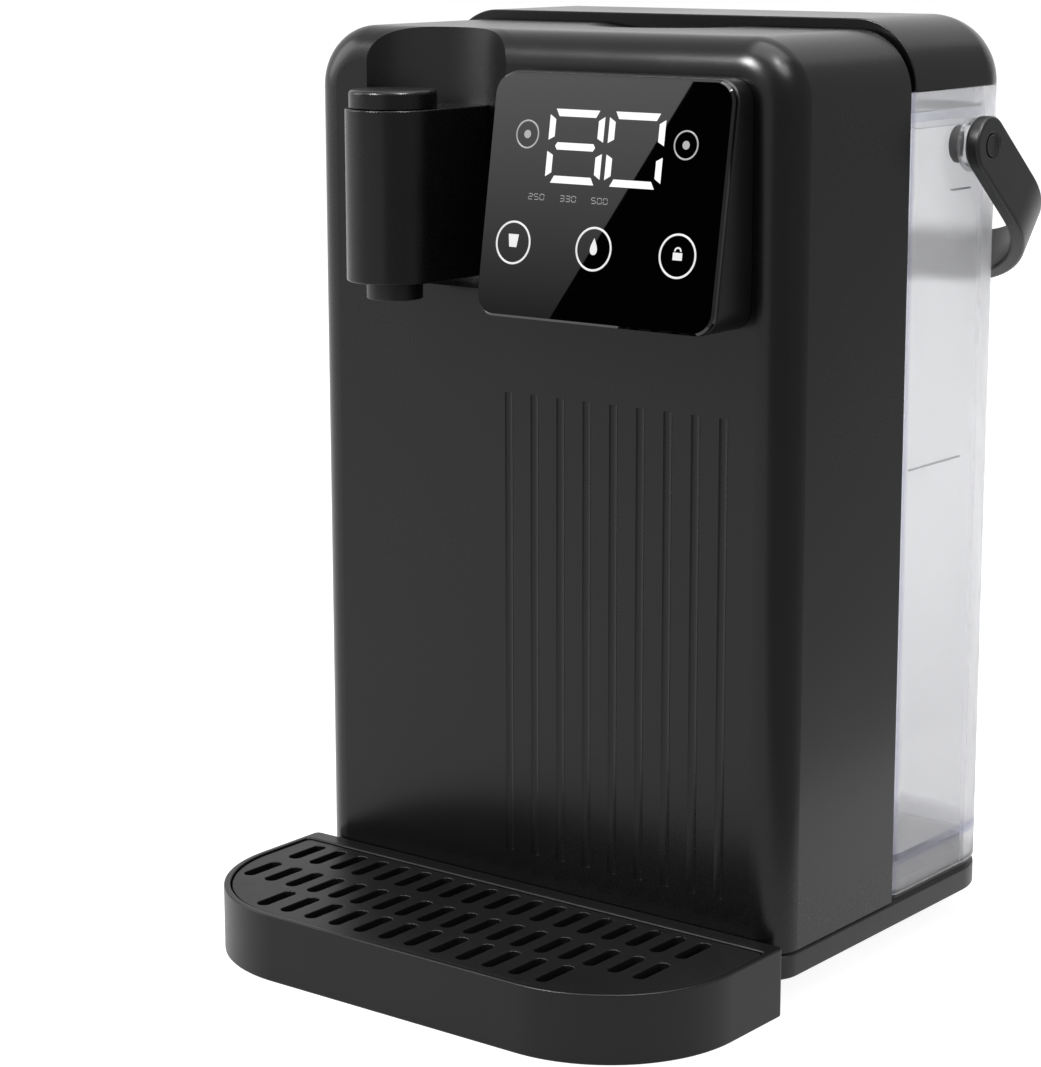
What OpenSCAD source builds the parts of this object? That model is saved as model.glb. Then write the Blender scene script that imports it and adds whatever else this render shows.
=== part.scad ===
// Instant hot water dispenser: a slim housing with a control pod and a spout,
// a lift-off water tank with a bail handle behind it and a drip tray in front.

/* [Housing] */
// Width of the housing and of the tank
body_w = 189; // [180:1:210]
// Height of the housing's top above the table
body_h = 301.2; // [290:0.2:340]
// Depth of the housing, from its front face to the tank seam
body_d = 68.6; // [66:0.2:84]
// Wall thickness of the housing shell
shell_wall = 2.5; // [2:0.1:3]
// Radius rolled along the front edges of the shell
edge_roll = 11.2; // [9:0.1:13]
// Radius of the shell's upper side corners
top_corner = 20; // [16:0.5:24]
// Thickness of the wall between the housing and the tank
rear_wall_t = 2.5; // [2:0.1:3]

/* [Front grooves] */
// Number of vertical grooves in the front face
groove_count = 9; // [3:1:9]
// Distance between two grooves
groove_pitch = 10.4; // [8:0.1:10.4]
// Distance of the last groove from the right side
groove_side = 22.6; // [20:0.1:28]
// Width of one groove
groove_w = 3.4; // [2:0.1:4]
// Depth of one groove
groove_depth = 0.6; // [0.4:0.1:1.2]
// Distance of the grooves' lower ends above the base
groove_rise = 15; // [12:0.5:40]
// Distance of the grooves' upper ends below the pod
groove_gap = 27.5; // [20:0.5:60]

/* [Base] */
// Height of the rubber feet
foot_h = 9; // [6:0.5:12]
// Radius of a rubber foot
foot_r = 10; // [7:0.5:12]
// Distance of the feet from the middle plane
foot_x = 55; // [40:1:62]
// Height of the base pan
base_h = 8.7; // [8:0.1:12]
// Floor thickness of the base pan
base_floor = 2.7; // [2.5:0.1:3]
// Wall thickness of the base pan
base_wall = 2.7; // [2:0.1:3.5]
// Width of the dark seam step on the base pan's upper edge
seam_step = 1; // [0.6:0.1:1.4]
// Radius rolled along the base pan's lower rear edge
base_roll = 7.4; // [4:0.1:7.6]

/* [Drip tray] */
// Width of the drip tray
tray_w = 194; // [190:1:210]
// Reach of the tray in front of the front face
tray_reach = 76; // [70:1:100]
// Height of the tray's rim
tray_h = 22.4; // [21:0.1:28]
// Plan radius of the tray's front corners
tray_corner = 47; // [30:1:55]
// Wall thickness of the tray
tray_wall = 2.2; // [1.8:0.1:3]
// Floor thickness of the tray
tray_floor = 2.5; // [2:0.1:4]
// Width of the solid strip behind the grille
tray_strip = 7.2; // [6:0.1:8]
// Width of the ledge that carries the grille
tray_ledge = 3; // [2:0.1:4]
// Thickness of the grille
grille_t = 2.8; // [2:0.1:3.5]
// Distance of the grille's top below the rim
grille_drop = 0.5; // [0.2:0.1:1]
// Width of a grille slot
slot_w = 4.4; // [3:0.1:5]
// Distance between two slots of the rear rows
slot_pitch = 9.45; // [8:0.05:9.5]
// Distance between two slots of the front row
front_pitch = 10.4; // [9:0.1:10.5]
// Length of a grille slot
slot_len = 16.5; // [12:0.5:17]

/* [Control pod] */
// Distance of the pod from the housing's right side
pod_side = 13; // [11.5:0.5:14]
// Width of the pod
pod_w = 90.5; // [86:0.5:91]
// Distance of the pod below the housing's top
pod_drop = 11.8; // [10:0.1:16]
// Height of the pod
pod_height = 75.5; // [72:0.5:77]
// How far the pod's upper edge stands out
pod_out_top = 9; // [8.8:0.1:12]
// How far the pod's lower edge stands out
pod_out_low = 21; // [18:0.5:26]
// Corner radius of the pod
pod_r = 7.5; // [6:0.1:9]
// Wall thickness of the pod
pod_wall = 2.4; // [2.2:0.1:2.8]
// Distance of the touch glass from the pod's outline
glass_edge = 0.4; // [0.3:0.1:1]
// Thickness of the touch glass
glass_t = 2; // [1.5:0.1:2.5]
// Bevel on the edge of the touch glass
glass_bevel = 0.7; // [0.3:0.1:1]

/* [Spout] */
// Distance between the pod and the spout's recess
niche_side = 3; // [2.6:0.1:6]
// Half width of the spout arm
spout_r = 15.3; // [14:0.1:16]
// Reach of the nose centre in front of the front face
nose_out = 21; // [18:0.5:26]
// Distance of the spout arm's upper side below the housing's top
spout_drop = 24.2; // [18:0.1:30]
// Height of the spout arm
spout_h = 54.4; // [48:0.2:60]
// Wall thickness of the spout arm
spout_wall = 2.4; // [2:0.1:3]
// Radius of the round cap on the spout
cap_r = 14; // [10:0.5:14]
// Height of the round cap
cap_h = 5.9; // [4:0.1:8]
// Radius of the nozzle
nozzle_r = 9; // [7:0.5:11]
// Height of the nozzle below the arm
nozzle_h = 5.8; // [4:0.1:8]
// Half width of the scooped recess behind the spout
niche_half = 29; // [26:0.5:29]
// Depth of the recess at its middle
niche_depth = 11; // [9:0.5:16]
// Floor of the recess, below the spout's underside by this much
niche_drop = 3.6; // [2:0.1:6]

/* [Tank] */
// Depth of the tank
tank_d = 70.4; // [64:0.2:90]
// Gap between the housing and the tank
tank_gap = 0.6; // [0.4:0.1:1]
// Lower edge of the tank's skirt above the base
tank_lift = 1.8; // [1.4:0.1:2.4]
// Distance of the tank's rim below the housing's top
rim_drop = 19.2; // [14:0.1:24]
// Wall thickness of the tank
tank_wall = 2.5; // [2:0.1:3]
// Height of the skirt below the tank floor
skirt_h = 10.5; // [10.5:0.1:14]
// Plan radius of the rear corners
rear_corner = 23; // [22.5:0.5:26]
// Radius of the front corners of the tank
tank_front_r = 4; // [3:0.5:5]

/* [Lid] */
// Height of the lid
lid_h = 22.5; // [22:0.1:26]
// Radius rolled along the lid's side and rear edges
lid_roll = 22; // [16:0.5:22]
// Wall thickness of the lid
lid_wall = 2.5; // [2:0.1:3]
// Gap between the lid's front and the tank's front
lid_inset = 2.2; // [1.5:0.1:2.4]
// Depth of the lid's clear insert in the tank mouth
plug_h = 12; // [8:0.5:16]
// Width of the finger dish in front of the lid
dish_w = 60; // [40:1:64]
// Depth of the finger dish
dish_depth = 2.2; // [1:0.1:2.5]

/* [Carry handle] */
// Distance of the pivots behind the tank's front wall
pivot_back = 29.3; // [27:0.1:33]
// Distance of the pivots below the tank rim
pivot_drop = 17.5; // [15:0.5:22]
// Length of the clear pivot bosses
boss_len = 7.5; // [5:0.5:10]
// Radius of the boss neck
boss_neck_r = 6.1; // [5.5:0.1:7]
// Radius of the boss flange
boss_flange_r = 8.6; // [7.5:0.1:10]
// Radius of the pins that the handle turns on
pin_r = 3.45; // [2.5:0.05:4]
// Width of the handle strap
strap_w = 18.5; // [12:0.5:20]
// Thickness of the handle strap
strap_t = 5; // [3.5:0.1:6]
// Distance from the pivots to the inside of the grip
grip_reach = 64; // [62:0.5:70]
// Outer radius of the bends beside the grip
strap_bend = 40; // [20:0.5:44]
// Angle of the resting handle below level
handle_lean = 39.5; // [34:0.5:40]

/* [Water path] */
// Radius of the heater tube
heater_r = 18; // [14:0.5:19]
// Outer radius of the hoses
hose_r = 6.5; // [6:0.1:7]
// Inner radius of the hoses
hose_bore = 4.55; // [4:0.05:4.8]
// Outer radius of the outlet tube
outlet_r = 4.5; // [4.2:0.1:5]
// Inner radius of the outlet tube
outlet_bore = 3.05; // [2.6:0.05:3.4]
// Radius of the bends in hoses and tube
bend_r = 10; // [9:0.5:10]
// Radius of the pump's volute
volute_r = 21; // [18:0.5:21]
// Radius of the pump motor
motor_r = 15; // [12:0.5:15]
// Length of the pump motor
motor_len = 42; // [34:1:44]
// Width of the pump's volute
volute_w = 16; // [14:0.5:18]
// Radius of the pump shaft
shaft_r = 1.5; // [1.2:0.1:2]
// Radius of the tank valve's stem
valve_r = 6.9; // [6.5:0.1:7.2]
// Lift of the valve's poppet when the tank is docked
valve_lift = 3; // [2:0.1:3]

/* [Electrics] */
// Width of the power board
board_w = 76; // [60:1:76]
// Height of the power board
board_h = 90; // [80:1:100]
// Thickness of the circuit boards
board_t = 1.6; // [1:0.1:2]
// Radius of the cord gland's bore
gland_bore = 3.8; // [3:0.1:4.2]

/* [Hidden] */
$fn = 96;

// Clearances
fit = 0.1;
run = 0.05;
loose = 0.3;
cut = 1;

// Main levels and planes, with the front face at y = 0
base_top = foot_h + base_h;
pan_floor = foot_h + base_floor;
half_w = body_w / 2;
inner_half = half_w - shell_wall;
wall_front = body_d - rear_wall_t;
tank_front = body_d + tank_gap;
tank_back = tank_front + tank_d;
tank_low = base_top + tank_lift;
tank_rim = body_h - rim_drop;
tank_floor = tank_low + skirt_h;
tank_floor_top = tank_floor + tank_wall;
lid_top = tank_rim + lid_h;

// Lid
insert_in = tank_wall + lid_inset + 0.5;
insert_low = tank_rim - plug_h;
insert_top = tank_rim + 5;
lid_seal_low = insert_low + 2.5;
lid_seal_h = 3;
lid_post_r = 4;
lid_post_x = half_w * 0.6;
lid_post_ys = [tank_front + tank_d * 0.3, tank_front + tank_d * 0.65];

// Handle and the middle of the whole depth
pivot_y = tank_front + pivot_back;
pivot_z = tank_rim - pivot_drop;
boss_end = half_w + boss_len;
boss_flange_t = boss_len * 0.4;
pin_cover = 2;
dimple_r = 3.6;
dimple_depth = 0.6;
pin_len = strap_t - pin_cover;
arm_in = boss_end + fit;
arm_out = arm_in + strap_t;
grip_out = grip_reach + strap_t;
handle_back = pivot_y + grip_out * cos(handle_lean) + strap_w / 2 * sin(handle_lean);
mid_y = (handle_back - tray_reach) / 2;

// Fasteners
screw_r = 1.9;
screw_head_r = 3.6;
screw_head_h = 1.8;
screw_reach = 19;
post_r = 5;
post_h = 18;
post_x = half_w - 14.5;
post_ys = [14, body_d - 12.6];
small_screw_r = 1.45;
small_head_r = 2.8;
small_head_h = 1.6;
rib_t = 3;
lug_w = 8;
lug_h = 12;
lug_d = 8;
lug_x = half_w - 7.5;
lug_zs = [120, body_h - 30];
deck_post_r = 4.5;
deck_post_x = half_w - 24.5;
deck_post_ys = [tank_front + 16, tank_back - 15];

// Base and feet
foot_ys = [30, tank_back - 27.6];
foot_chamfer = 1;
stud_r = 2.5;
pan_inset = base_wall + seam_step;
deck_t = 2.5;
deck_low = base_top - deck_t;
ledge_inset = 1.2;
ledge_w = 5.3;
rim_h = 3.5;
rim_w = 2.1;
rim_gap = 0.4;

// Drip tray
tray_half = tray_w / 2;
tray_gap = 0.3;
tray_back = -tray_gap;
tray_rear_r = 2;
tongue_x = 40;
tongue_w = 20;
tongue_t = 3;
tongue_len = 12;
grille_gap = 0.6;
grille_top = tray_h - grille_drop;
grille_low = grille_top - grille_t;
grille_half = tray_half - tray_wall - grille_gap;
grille_back = -tray_strip - grille_gap;
grille_front = -tray_reach + tray_wall + grille_gap;
grille_corner = tray_corner - tray_wall - grille_gap;
rear_rows = [-18.7, -41];
rear_row_left = -85.2;
rear_row_count = 18;
front_row_y = -60.7;
front_row_left = -60.9;
front_row_count = 12;
ledge_h = 2.2;

// Control pod
pod_left = half_w - pod_side - pod_w;
pod_mid = pod_left + pod_w / 2;
pod_high = body_h - pod_drop;
pod_low = pod_high - pod_height;
pod_tilt = atan2(pod_out_low - pod_out_top, pod_height);
pod_face = norm([pod_out_low - pod_out_top, pod_height]);
glass_w = pod_w - 2 * glass_edge;
glass_h = round(10 * (pod_face - 2 * glass_edge)) / 10;
pod_cut_depth = 60;
digit_w = 56;
digit_h = 32;
digit_t = 4;
digit_up = 52;
display_w = 66;
display_h = 62;
pod_boss_r = 3.5;
pod_boss_h = 5;
pod_boss_in = 5;
pod_window = [24, 24];

// Grooves
groove_right_x = half_w - groove_side;
groove_r = (pow(groove_w / 2, 2) + pow(groove_depth, 2)) / (2 * groove_depth);
groove_low = base_top + groove_rise;
groove_high = pod_low - groove_gap;

// Spout
spout_x = pod_left - niche_side - niche_half;
spout_top = body_h - spout_drop;
spout_low = spout_top - spout_h;
niche_floor = spout_low - niche_drop;
niche_r = (pow(niche_half, 2) + pow(niche_depth, 2)) / (2 * niche_depth);
niche_y = niche_depth - niche_r;
seat_y = niche_depth - 3;
nose_y = -nose_out;
outlet_z = (spout_low + spout_top) / 2;
neck_r = 5;
neck_h = spout_wall + 1.6;
cap_edge = 0.8;
cap_spigot_r = 6;
barb_h = 6;
dish_x = 5;

// Water path
dock_half = 14;
dock_back = pivot_y + 17.5;
valve_y = dock_back - 12;
port_z = base_top + 5.1;
port_r = 2.5;
dock_top = tank_floor - 1.3;
socket_floor = base_top + 2.5;
socket_r = valve_r + 0.4;
seal_t = 1.5;
seal_h = 1.6;
seal_z = dock_top - 2.7;
pin_top = socket_floor + 1;
spigot_r = hose_bore - run;
spigot_wall = 1.5;
hose_lap = 6;
valve_low = tank_floor - 7.5;
valve_seat_h = 2.5;
valve_bore = valve_r - 1.4;
seat_r = 3.5;
valve_flange_r = 11;
valve_flange_h = 2;
poppet_r = valve_bore - 0.5;
poppet_h = 2;
poppet_low = valve_low + valve_seat_h + valve_lift;
poppet_stem_r = 1.5;
strainer_r = 9;
strainer_h = 7.5;
strainer_wall = 1.5;
strainer_slots = 12;
strainer_gap = 1.5;
strainer_gap_h = 3.5;
strainer_top = tank_floor_top + valve_flange_h + strainer_h;
spring_wire_r = 0.45;
spring_r = 3.3;
spring_turns = 5;
spring_low = poppet_low + poppet_h + loose;
spring_high = strainer_top - strainer_wall - loose;

// Pump
pump_set = 30.1;
pump_y = wall_front - pump_set;
pump_z = port_z + 2 * bend_r + 1.2;
inlet_end = 21.5;
volute_left = inlet_end + 0.5;
motor_left = volute_left + volute_w;
volute_wall = 2;
impeller_gap = 1;
impeller_r = volute_r - volute_wall - 1;
impeller_t = 2;
vane_count = 6;
vane_t = 1.5;
pump_outlet_x = volute_left + volute_w / 2;
pump_outlet_y = pump_y - volute_r + 5.5;
pump_outlet_top = pump_z + volute_r + 11;
saddle_w = 22;
saddle_half = 12;
saddle_h = pump_z - pan_floor - motor_r * 0.6;

// Heater
heater_y = wall_front - heater_r - 4.1;
hose_cross_z = pump_outlet_top + bend_r + 8;
heater_cap_h = 6;
heater_cap_r = heater_r + 1;
heater_spigot = 8;
heater_room = 6.5;
heater_low = hose_cross_z + bend_r + heater_spigot + heater_cap_h;
heater_high = niche_floor - shell_wall - heater_room - heater_spigot - heater_cap_h;
heater_len = heater_high - heater_low;
heater_mid = heater_low + heater_len / 2;
heater_cap_top = heater_high + heater_cap_h;
bracket_t = 2;
bracket_h = 12;
bracket_half = 11;
bracket_zs = [heater_low + heater_len * 0.15, heater_high - heater_len * 0.15 - bracket_h];
cutout_r = 6;
cutout_h = 5;
cutout_pad = 7;
cutout_y = heater_y - heater_r - 2;
sensor_r = 2.4;
sensor_h = 10;
sensor_x = 11;

// Electrics
board_x = 4;
board_z = 108;
standoff_len = 8;
standoff_r = 3.5;
board_front = wall_front - standoff_len - board_t;
board_corner = 5;
transformer_size = [26, 18, 22];
relay_size = [19, 16, 16];
terminal_size = [24, 11, 12];
sink_fin = [2, 18, 24];
sink_plate_d = 4;
sink_pitch = 5;
sink_fins = 5;
sink_w = sink_pitch * (sink_fins - 1) + sink_fin[0];
upper_row_z = board_h * 0.62;
lower_row_z = board_h * 0.2;
left_column_x = board_w * 0.18;
right_column_x = board_w * 0.6;
gland_back = 16.6;
gland_up = 10;
gland_y = body_d - gland_back;
gland_z = base_top + post_h + gland_up;
gland_flange_r = 8;
gland_neck_r = 6;
gland_flange_t = 3;
gland_inner_t = 2;

// The model is drawn from the front face; this puts the middle of its depth at the origin
module placed() {
    translate([0, -mid_y, 0]) children();
}

// Rectangle in plan with its own front and rear corner radius
module plan(half, y0, y1, r_front, r_rear) {
    intersection() {
        translate([-half, y0]) square([2 * half, y1 - y0]);
        union() {
            translate([-half, y0 + r_front]) square([2 * half, y1 - y0 - r_front - r_rear]);
            translate([-half + r_front, y0]) square([2 * (half - r_front), y1 - y0 - r_rear]);
            translate([-half + r_rear, y0 + r_front]) square([2 * (half - r_rear), y1 - y0 - r_front]);
            for (side = [-1, 1]) {
                translate([side * (half - r_front), y0 + r_front]) circle(r_front);
                translate([side * (half - r_rear), y1 - r_rear]) circle(r_rear);
            }
        }
    }
}

// Upright prism between two levels
module slab(z0, z1) {
    translate([0, 0, z0]) linear_extrude(z1 - z0) children();
}

// Cylinders along x, y and z between two places
module rod_x(x0, x1, r) {
    translate([x0, 0, 0]) rotate([0, 90, 0]) cylinder(h = x1 - x0, r = r);
}

module rod_y(y0, y1, r) {
    translate([0, y0, 0]) rotate([-90, 0, 0]) cylinder(h = y1 - y0, r = r);
}

module rod_z(z0, z1, r) {
    translate([0, 0, z0]) cylinder(h = z1 - z0, r = r);
}

// Extrusion along x of a shape drawn in (y, z)
module along_x(x0, x1) {
    translate([x0, 0, 0]) rotate([90, 0, 90]) linear_extrude(x1 - x0) children();
}

// Extrusion along y of a shape drawn in (x, z)
module along_y(y0, y1) {
    translate([0, y1, 0]) rotate([90, 0, 0]) linear_extrude(y1 - y0) children();
}

// Corner of width c and height d whose outer lower edge is rolled with radius r
module rolled_profile(c, y0, y1, r) {
    translate([0, y0]) square([c - r, y1 - y0]);
    translate([0, y0 + r]) square([c, y1 - y0 - r]);
    intersection() {
        translate([c - r, y0 + r]) circle(r);
        translate([0, y0]) square([c, y1 - y0]);
    }
}

// Outer form of the housing, drawn in by an inset on every outer face
module body_form(inset, y1, z0) {
    half = half_w - inset;
    top = body_h - inset;
    c = top_corner - inset;
    r = edge_roll - inset;
    slab(z0, top - c) plan_front(half, inset, y1, r);
    along_x(-(half - c), half - c) front_rolled(inset, y1, top - c, top, r);
    for (side = [0, 1]) mirror([side, 0, 0])
        translate([half - c, 0, top - c]) rotate([-90, 0, 0]) rotate([0, 0, -90])
            rotate_extrude(angle = 90) rolled_profile(c, inset, y1, r);
}

// Plan of the housing: round front corners, square at the seam
module plan_front(half, y0, y1, r) {
    translate([-half, y0 + r]) square([2 * half, y1 - y0 - r]);
    translate([-half + r, y0]) square([2 * (half - r), 2 * r]);
    for (side = [-1, 1]) translate([side * (half - r), y0 + r]) circle(r);
}

// Side view of the base pan with its rolled lower rear edge, drawn in (y, z)
module rear_rolled(y0, y1, z0, z1, r) {
    translate([y0, z0]) square([y1 - y0 - r, z1 - z0]);
    translate([y0, z0 + r]) square([y1 - y0, z1 - z0 - r]);
    intersection() {
        translate([y1 - r, z0 + r]) circle(r);
        translate([y1 - 2 * r, z0]) square([2 * r, z1 - z0]);
    }
}

// Side view of the housing's top with its rolled front edge, drawn in (y, z)
module front_rolled(y0, y1, z0, z1, r) {
    translate([y0 + r, z0]) square([y1 - y0 - r, z1 - z0]);
    translate([y0, z0]) square([2 * r, z1 - z0 - r]);
    intersection() {
        translate([y0 + r, z1 - r]) circle(r);
        translate([y0, z0]) square([2 * r, z1 - z0]);
    }
}

// Rounded rectangle slab whose far edge is bevelled, centred, from z = 0
module bevelled_slab(w, h, r, t, bevel) {
    flat_w = w / 2 - r;
    flat_h = h / 2 - r;
    slab(0, t - bevel) plan(w / 2, -h / 2, h / 2, r, r);
    translate([0, 0, t - bevel]) {
        for (side = [0, 1]) mirror([0, side, 0]) along_x(-flat_w, flat_w) bevel_profile(h / 2, bevel);
        for (side = [0, 1]) mirror([side, 0, 0]) {
            translate([flat_w, 0, 0]) along_y(-flat_h, flat_h) bevel_profile(r, bevel);
            for (end = [0, 1]) mirror([0, end, 0]) translate([flat_w, flat_h, 0])
                rotate_extrude(angle = 90) bevel_profile(r, bevel);
        }
    }
}

// Half section of a bevelled slab, from its middle out to its edge
module bevel_profile(reach, bevel) {
    polygon([[0, 0], [reach, 0], [reach - bevel, bevel], [0, bevel]]);
}

// Hollow tube along square-cornered points, with every corner bent round
module bent_tube(points, r, bore, bend) {
    last = len(points) - 1;
    for (i = [0 : last - 1]) {
        d = unit(points[i + 1] - points[i]);
        from = points[i] + (i > 0 ? bend : 0) * d;
        to = points[i + 1] - (i < last - 1 ? bend : 0) * d;
        side = abs(d[2]) > 0.5 ? [1, 0, 0] : [0, 0, 1];
        frame_at(from, side, cross(d, side), d) linear_extrude(norm(to - from)) ring(r, bore);
    }
    for (i = [1 : last - 1]) {
        a = unit(points[i] - points[i - 1]);
        b = unit(points[i + 1] - points[i]);
        frame_at(points[i] + bend * (b - a), -b, a, cross(a, b))
            rotate_extrude(angle = 90) translate([bend, 0]) ring(r, bore);
    }
}

function unit(v) = v / norm(v);

module ring(r, bore) {
    difference() {
        circle(r);
        circle(bore);
    }
}

// Places its children in a frame with the given origin and axes
module frame_at(p, x, y, z) {
    multmatrix([
        [x[0], y[0], z[0], p[0]],
        [x[1], y[1], z[1], p[1]],
        [x[2], y[2], z[2], p[2]],
        [0, 0, 0, 1]
    ]) children();
}

// Screw standing on its head, pointing up from z = 0
module screw(r, head_r, head_h, reach) {
    rod_z(0, head_h, head_r);
    rod_z(head_h, head_h + reach, r);
}

module at_posts() {
    for (side = [-1, 1], y = post_ys) translate([side * post_x, y, 0]) children();
}

module at_deck_posts() {
    for (side = [-1, 1], y = deck_post_ys) translate([side * deck_post_x, y, 0]) children();
}

module at_feet() {
    for (side = [-1, 1], y = foot_ys) translate([side * foot_x, y, 0]) children();
}

module at_lugs() {
    for (side = [-1, 1], z = lug_zs) translate([side * lug_x, 0, z]) children();
}

module at_pod_bosses() {
    for (x = [pod_left + pod_boss_in, pod_left + pod_w - pod_boss_in])
        for (z = [pod_low + pod_boss_in, pod_high - pod_boss_in]) translate([x, 0, z]) children();
}

module at_board_corners() {
    for (x = [board_x + board_corner, board_x + board_w - board_corner])
        for (z = [board_z + board_corner, board_z + board_h - board_corner])
            translate([x, 0, z]) children();
}

// Base pan under the housing and the tank
module base_plate() {
    color("#1d1e20") placed() difference() {
        union() {
            difference() {
                union() {
                    intersection() {
                        slab(foot_h, base_top - seam_step)
                            plan(half_w, 0, tank_back, edge_roll, rear_corner);
                        along_x(-half_w - cut, half_w + cut)
                            rear_rolled(-cut, tank_back, foot_h, base_top, base_roll);
                    }
                    slab(base_top - seam_step, base_top)
                        plan(half_w - seam_step, seam_step, tank_back - seam_step,
                             edge_roll - seam_step, rear_corner - seam_step);
                }
                slab(pan_floor, base_top + cut)
                    plan(half_w - pan_inset, pan_inset, tank_back - pan_inset,
                         edge_roll - pan_inset, rear_corner - pan_inset);
            }
            at_posts() rod_z(pan_floor, base_top, post_r);
            at_deck_posts() rod_z(pan_floor, deck_low, deck_post_r);
        }
        at_posts() {
            rod_z(foot_h - cut, foot_h + screw_head_h + fit, screw_head_r + loose);
            rod_z(foot_h, base_top + cut, screw_r + fit);
        }
        at_deck_posts() {
            rod_z(foot_h - cut, foot_h + small_head_h + fit, small_head_r + loose);
            rod_z(foot_h, deck_low + cut, small_screw_r + fit);
        }
        at_feet() rod_z(foot_h - cut, pan_floor + cut, stud_r + fit);
        for (side = [0, 1]) mirror([side, 0, 0])
            translate([tongue_x - loose, -cut, pan_floor])
                cube([tongue_w + 2 * loose, pan_inset + 2 * cut, tongue_t + 2 * loose]);
    }
}

// Four feet with a stud pushed into the pan
module rubber_feet() {
    color("#2b2b2c") placed() at_feet() {
        cylinder(h = foot_chamfer, r1 = foot_r - foot_chamfer, r2 = foot_r);
        rod_z(foot_chamfer, foot_h, foot_r);
        rod_z(foot_h, pan_floor, stud_r);
    }
}

module inset_tank_plan(inset) {
    plan(half_w - inset, tank_front + inset, tank_back - inset,
         max(tank_front_r - inset, 1), rear_corner - inset);
}

// Deck that carries the tank, with its seat ledge and locating rim
module tank_deck() {
    deck_inset = pan_inset + fit;
    color("#1d1e20") placed() difference() {
        union() {
            slab(deck_low, base_top) inset_tank_plan(deck_inset);
            difference() {
                union() {
                    slab(base_top, tank_low) inset_tank_plan(ledge_inset);
                    slab(tank_low, tank_low + rim_h) inset_tank_plan(tank_wall + rim_gap);
                }
                slab(base_top, tank_low + rim_h + cut) inset_tank_plan(ledge_inset + ledge_w);
                slab(tank_low, tank_low + rim_h + cut) inset_tank_plan(tank_wall + rim_gap + rim_w);
                translate([-dock_half - fit, tank_front, base_top])
                    cube([2 * (dock_half + fit), dock_back - tank_front, rim_h + tank_lift + cut]);
            }
        }
        at_deck_posts() rod_z(deck_low - cut, base_top - 0.4, small_screw_r + run);
    }
}

// Moulded front, sides and top of the housing, with the spout's recess
module front_shell() {
    color("#222326") placed() difference() {
        union() {
            difference() {
                body_form(0, body_d, base_top);
                body_form(shell_wall, body_d + cut, base_top - cut);
            }
            dish_backing();
            niche_sleeve();
            at_posts() rod_z(base_top, base_top + post_h, post_r);
            for (side = [0, 1], y = post_ys) mirror([side, 0, 0])
                translate([post_x, y - rib_t / 2, base_top])
                    cube([inner_half + shell_wall / 2 - post_x, rib_t, post_h]);
            for (side = [0, 1], z = lug_zs) mirror([side, 0, 0])
                translate([lug_x - lug_w / 2, wall_front - lug_d, z - lug_h / 2])
                    cube([inner_half + shell_wall / 2 - lug_x + lug_w / 2, lug_d, lug_h]);
        }
        translate([spout_x, 0, 0]) difference() {
            translate([0, niche_y, 0]) rod_z(niche_floor, body_h + cut, niche_r);
            spout_seat();
        }
        dish();
        front_grooves();
        at_posts()
            rod_z(base_top - cut, base_top + screw_reach - base_h + screw_head_h + fit, screw_r + run);
        at_lugs() rod_y(wall_front - lug_d + cut, wall_front + cut, small_screw_r + run);
        at_pod_bosses() rod_y(-cut, shell_wall + cut, small_screw_r);
        translate([pod_mid - pod_window[0] / 2, -cut, pod_low + pod_height / 2 - pod_window[1] / 2])
            cube([pod_window[0], shell_wall + 2 * cut, pod_window[1]]);
        translate([spout_x, 0, outlet_z])
            rod_y(seat_y - cut, niche_depth + shell_wall + cut, outlet_r + loose);
        translate([0, gland_y, gland_z]) rod_x(-half_w - cut, -inner_half + cut, gland_neck_r + fit);
    }
}

// Wall round the spout's recess
module niche_sleeve() {
    intersection() {
        body_form(0, body_d, base_top);
        translate([spout_x, niche_y, 0]) rod_z(niche_floor - shell_wall, body_h, niche_r + shell_wall);
    }
}

// Flat pad in the recess that the spout arm is fixed to, left standing by the recess
module spout_seat() {
    translate([-spout_r, seat_y, spout_low]) cube([2 * spout_r, niche_depth, spout_top - spout_low]);
}

// Shallow dish in the top edge in front of the lid, for a fingertip
module dish() {
    dish_r = (pow(dish_w / 2, 2) + pow(dish_depth, 2)) / (2 * dish_depth);
    translate([dish_x, body_d, body_h - dish_depth + dish_r]) sphere(dish_r, $fn = 240);
}

module dish_backing() {
    translate([dish_x - dish_w / 2 - rib_t, body_d - dish_w / 2 - rib_t, body_h - shell_wall - rib_t])
        cube([dish_w + 2 * rib_t, dish_w / 2 + rib_t, rib_t + shell_wall / 2]);
}

module front_grooves() {
    for (i = [0 : groove_count - 1])
        translate([groove_right_x - i * groove_pitch, groove_depth - groove_r, 0])
            rod_z(groove_low, groove_high, groove_r);
}

// Wall that closes the housing towards the tank
module rear_wall() {
    color("#232427") placed() difference() {
        union() {
            intersection() {
                body_form(shell_wall + fit, body_d, base_top);
                translate([-body_w, wall_front, 0]) cube([2 * body_w, rear_wall_t, body_h]);
            }
            at_board_corners() rod_y(wall_front - standoff_len, wall_front + cut, standoff_r);
        }
        translate([dish_x - dish_w / 2 - rib_t - fit, wall_front - cut, body_h - shell_wall - rib_t - fit])
            cube([dish_w + 2 * rib_t + 2 * fit, rear_wall_t + 2 * cut, 2 * rib_t]);
        at_board_corners() rod_y(wall_front - standoff_len - cut, wall_front, small_screw_r + run);
        at_lugs() {
            rod_y(wall_front - cut, body_d + cut, small_screw_r + fit);
            rod_y(body_d - small_head_h, body_d + cut, small_head_r + fit);
        }
        translate([0, 0, port_z]) rod_y(wall_front - cut, body_d + cut, spigot_r + fit);
    }
}

module housing_screws() {
    color("#9a9da1") placed() at_posts() translate([0, 0, foot_h])
        screw(screw_r, screw_head_r, screw_head_h, screw_reach);
}

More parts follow.
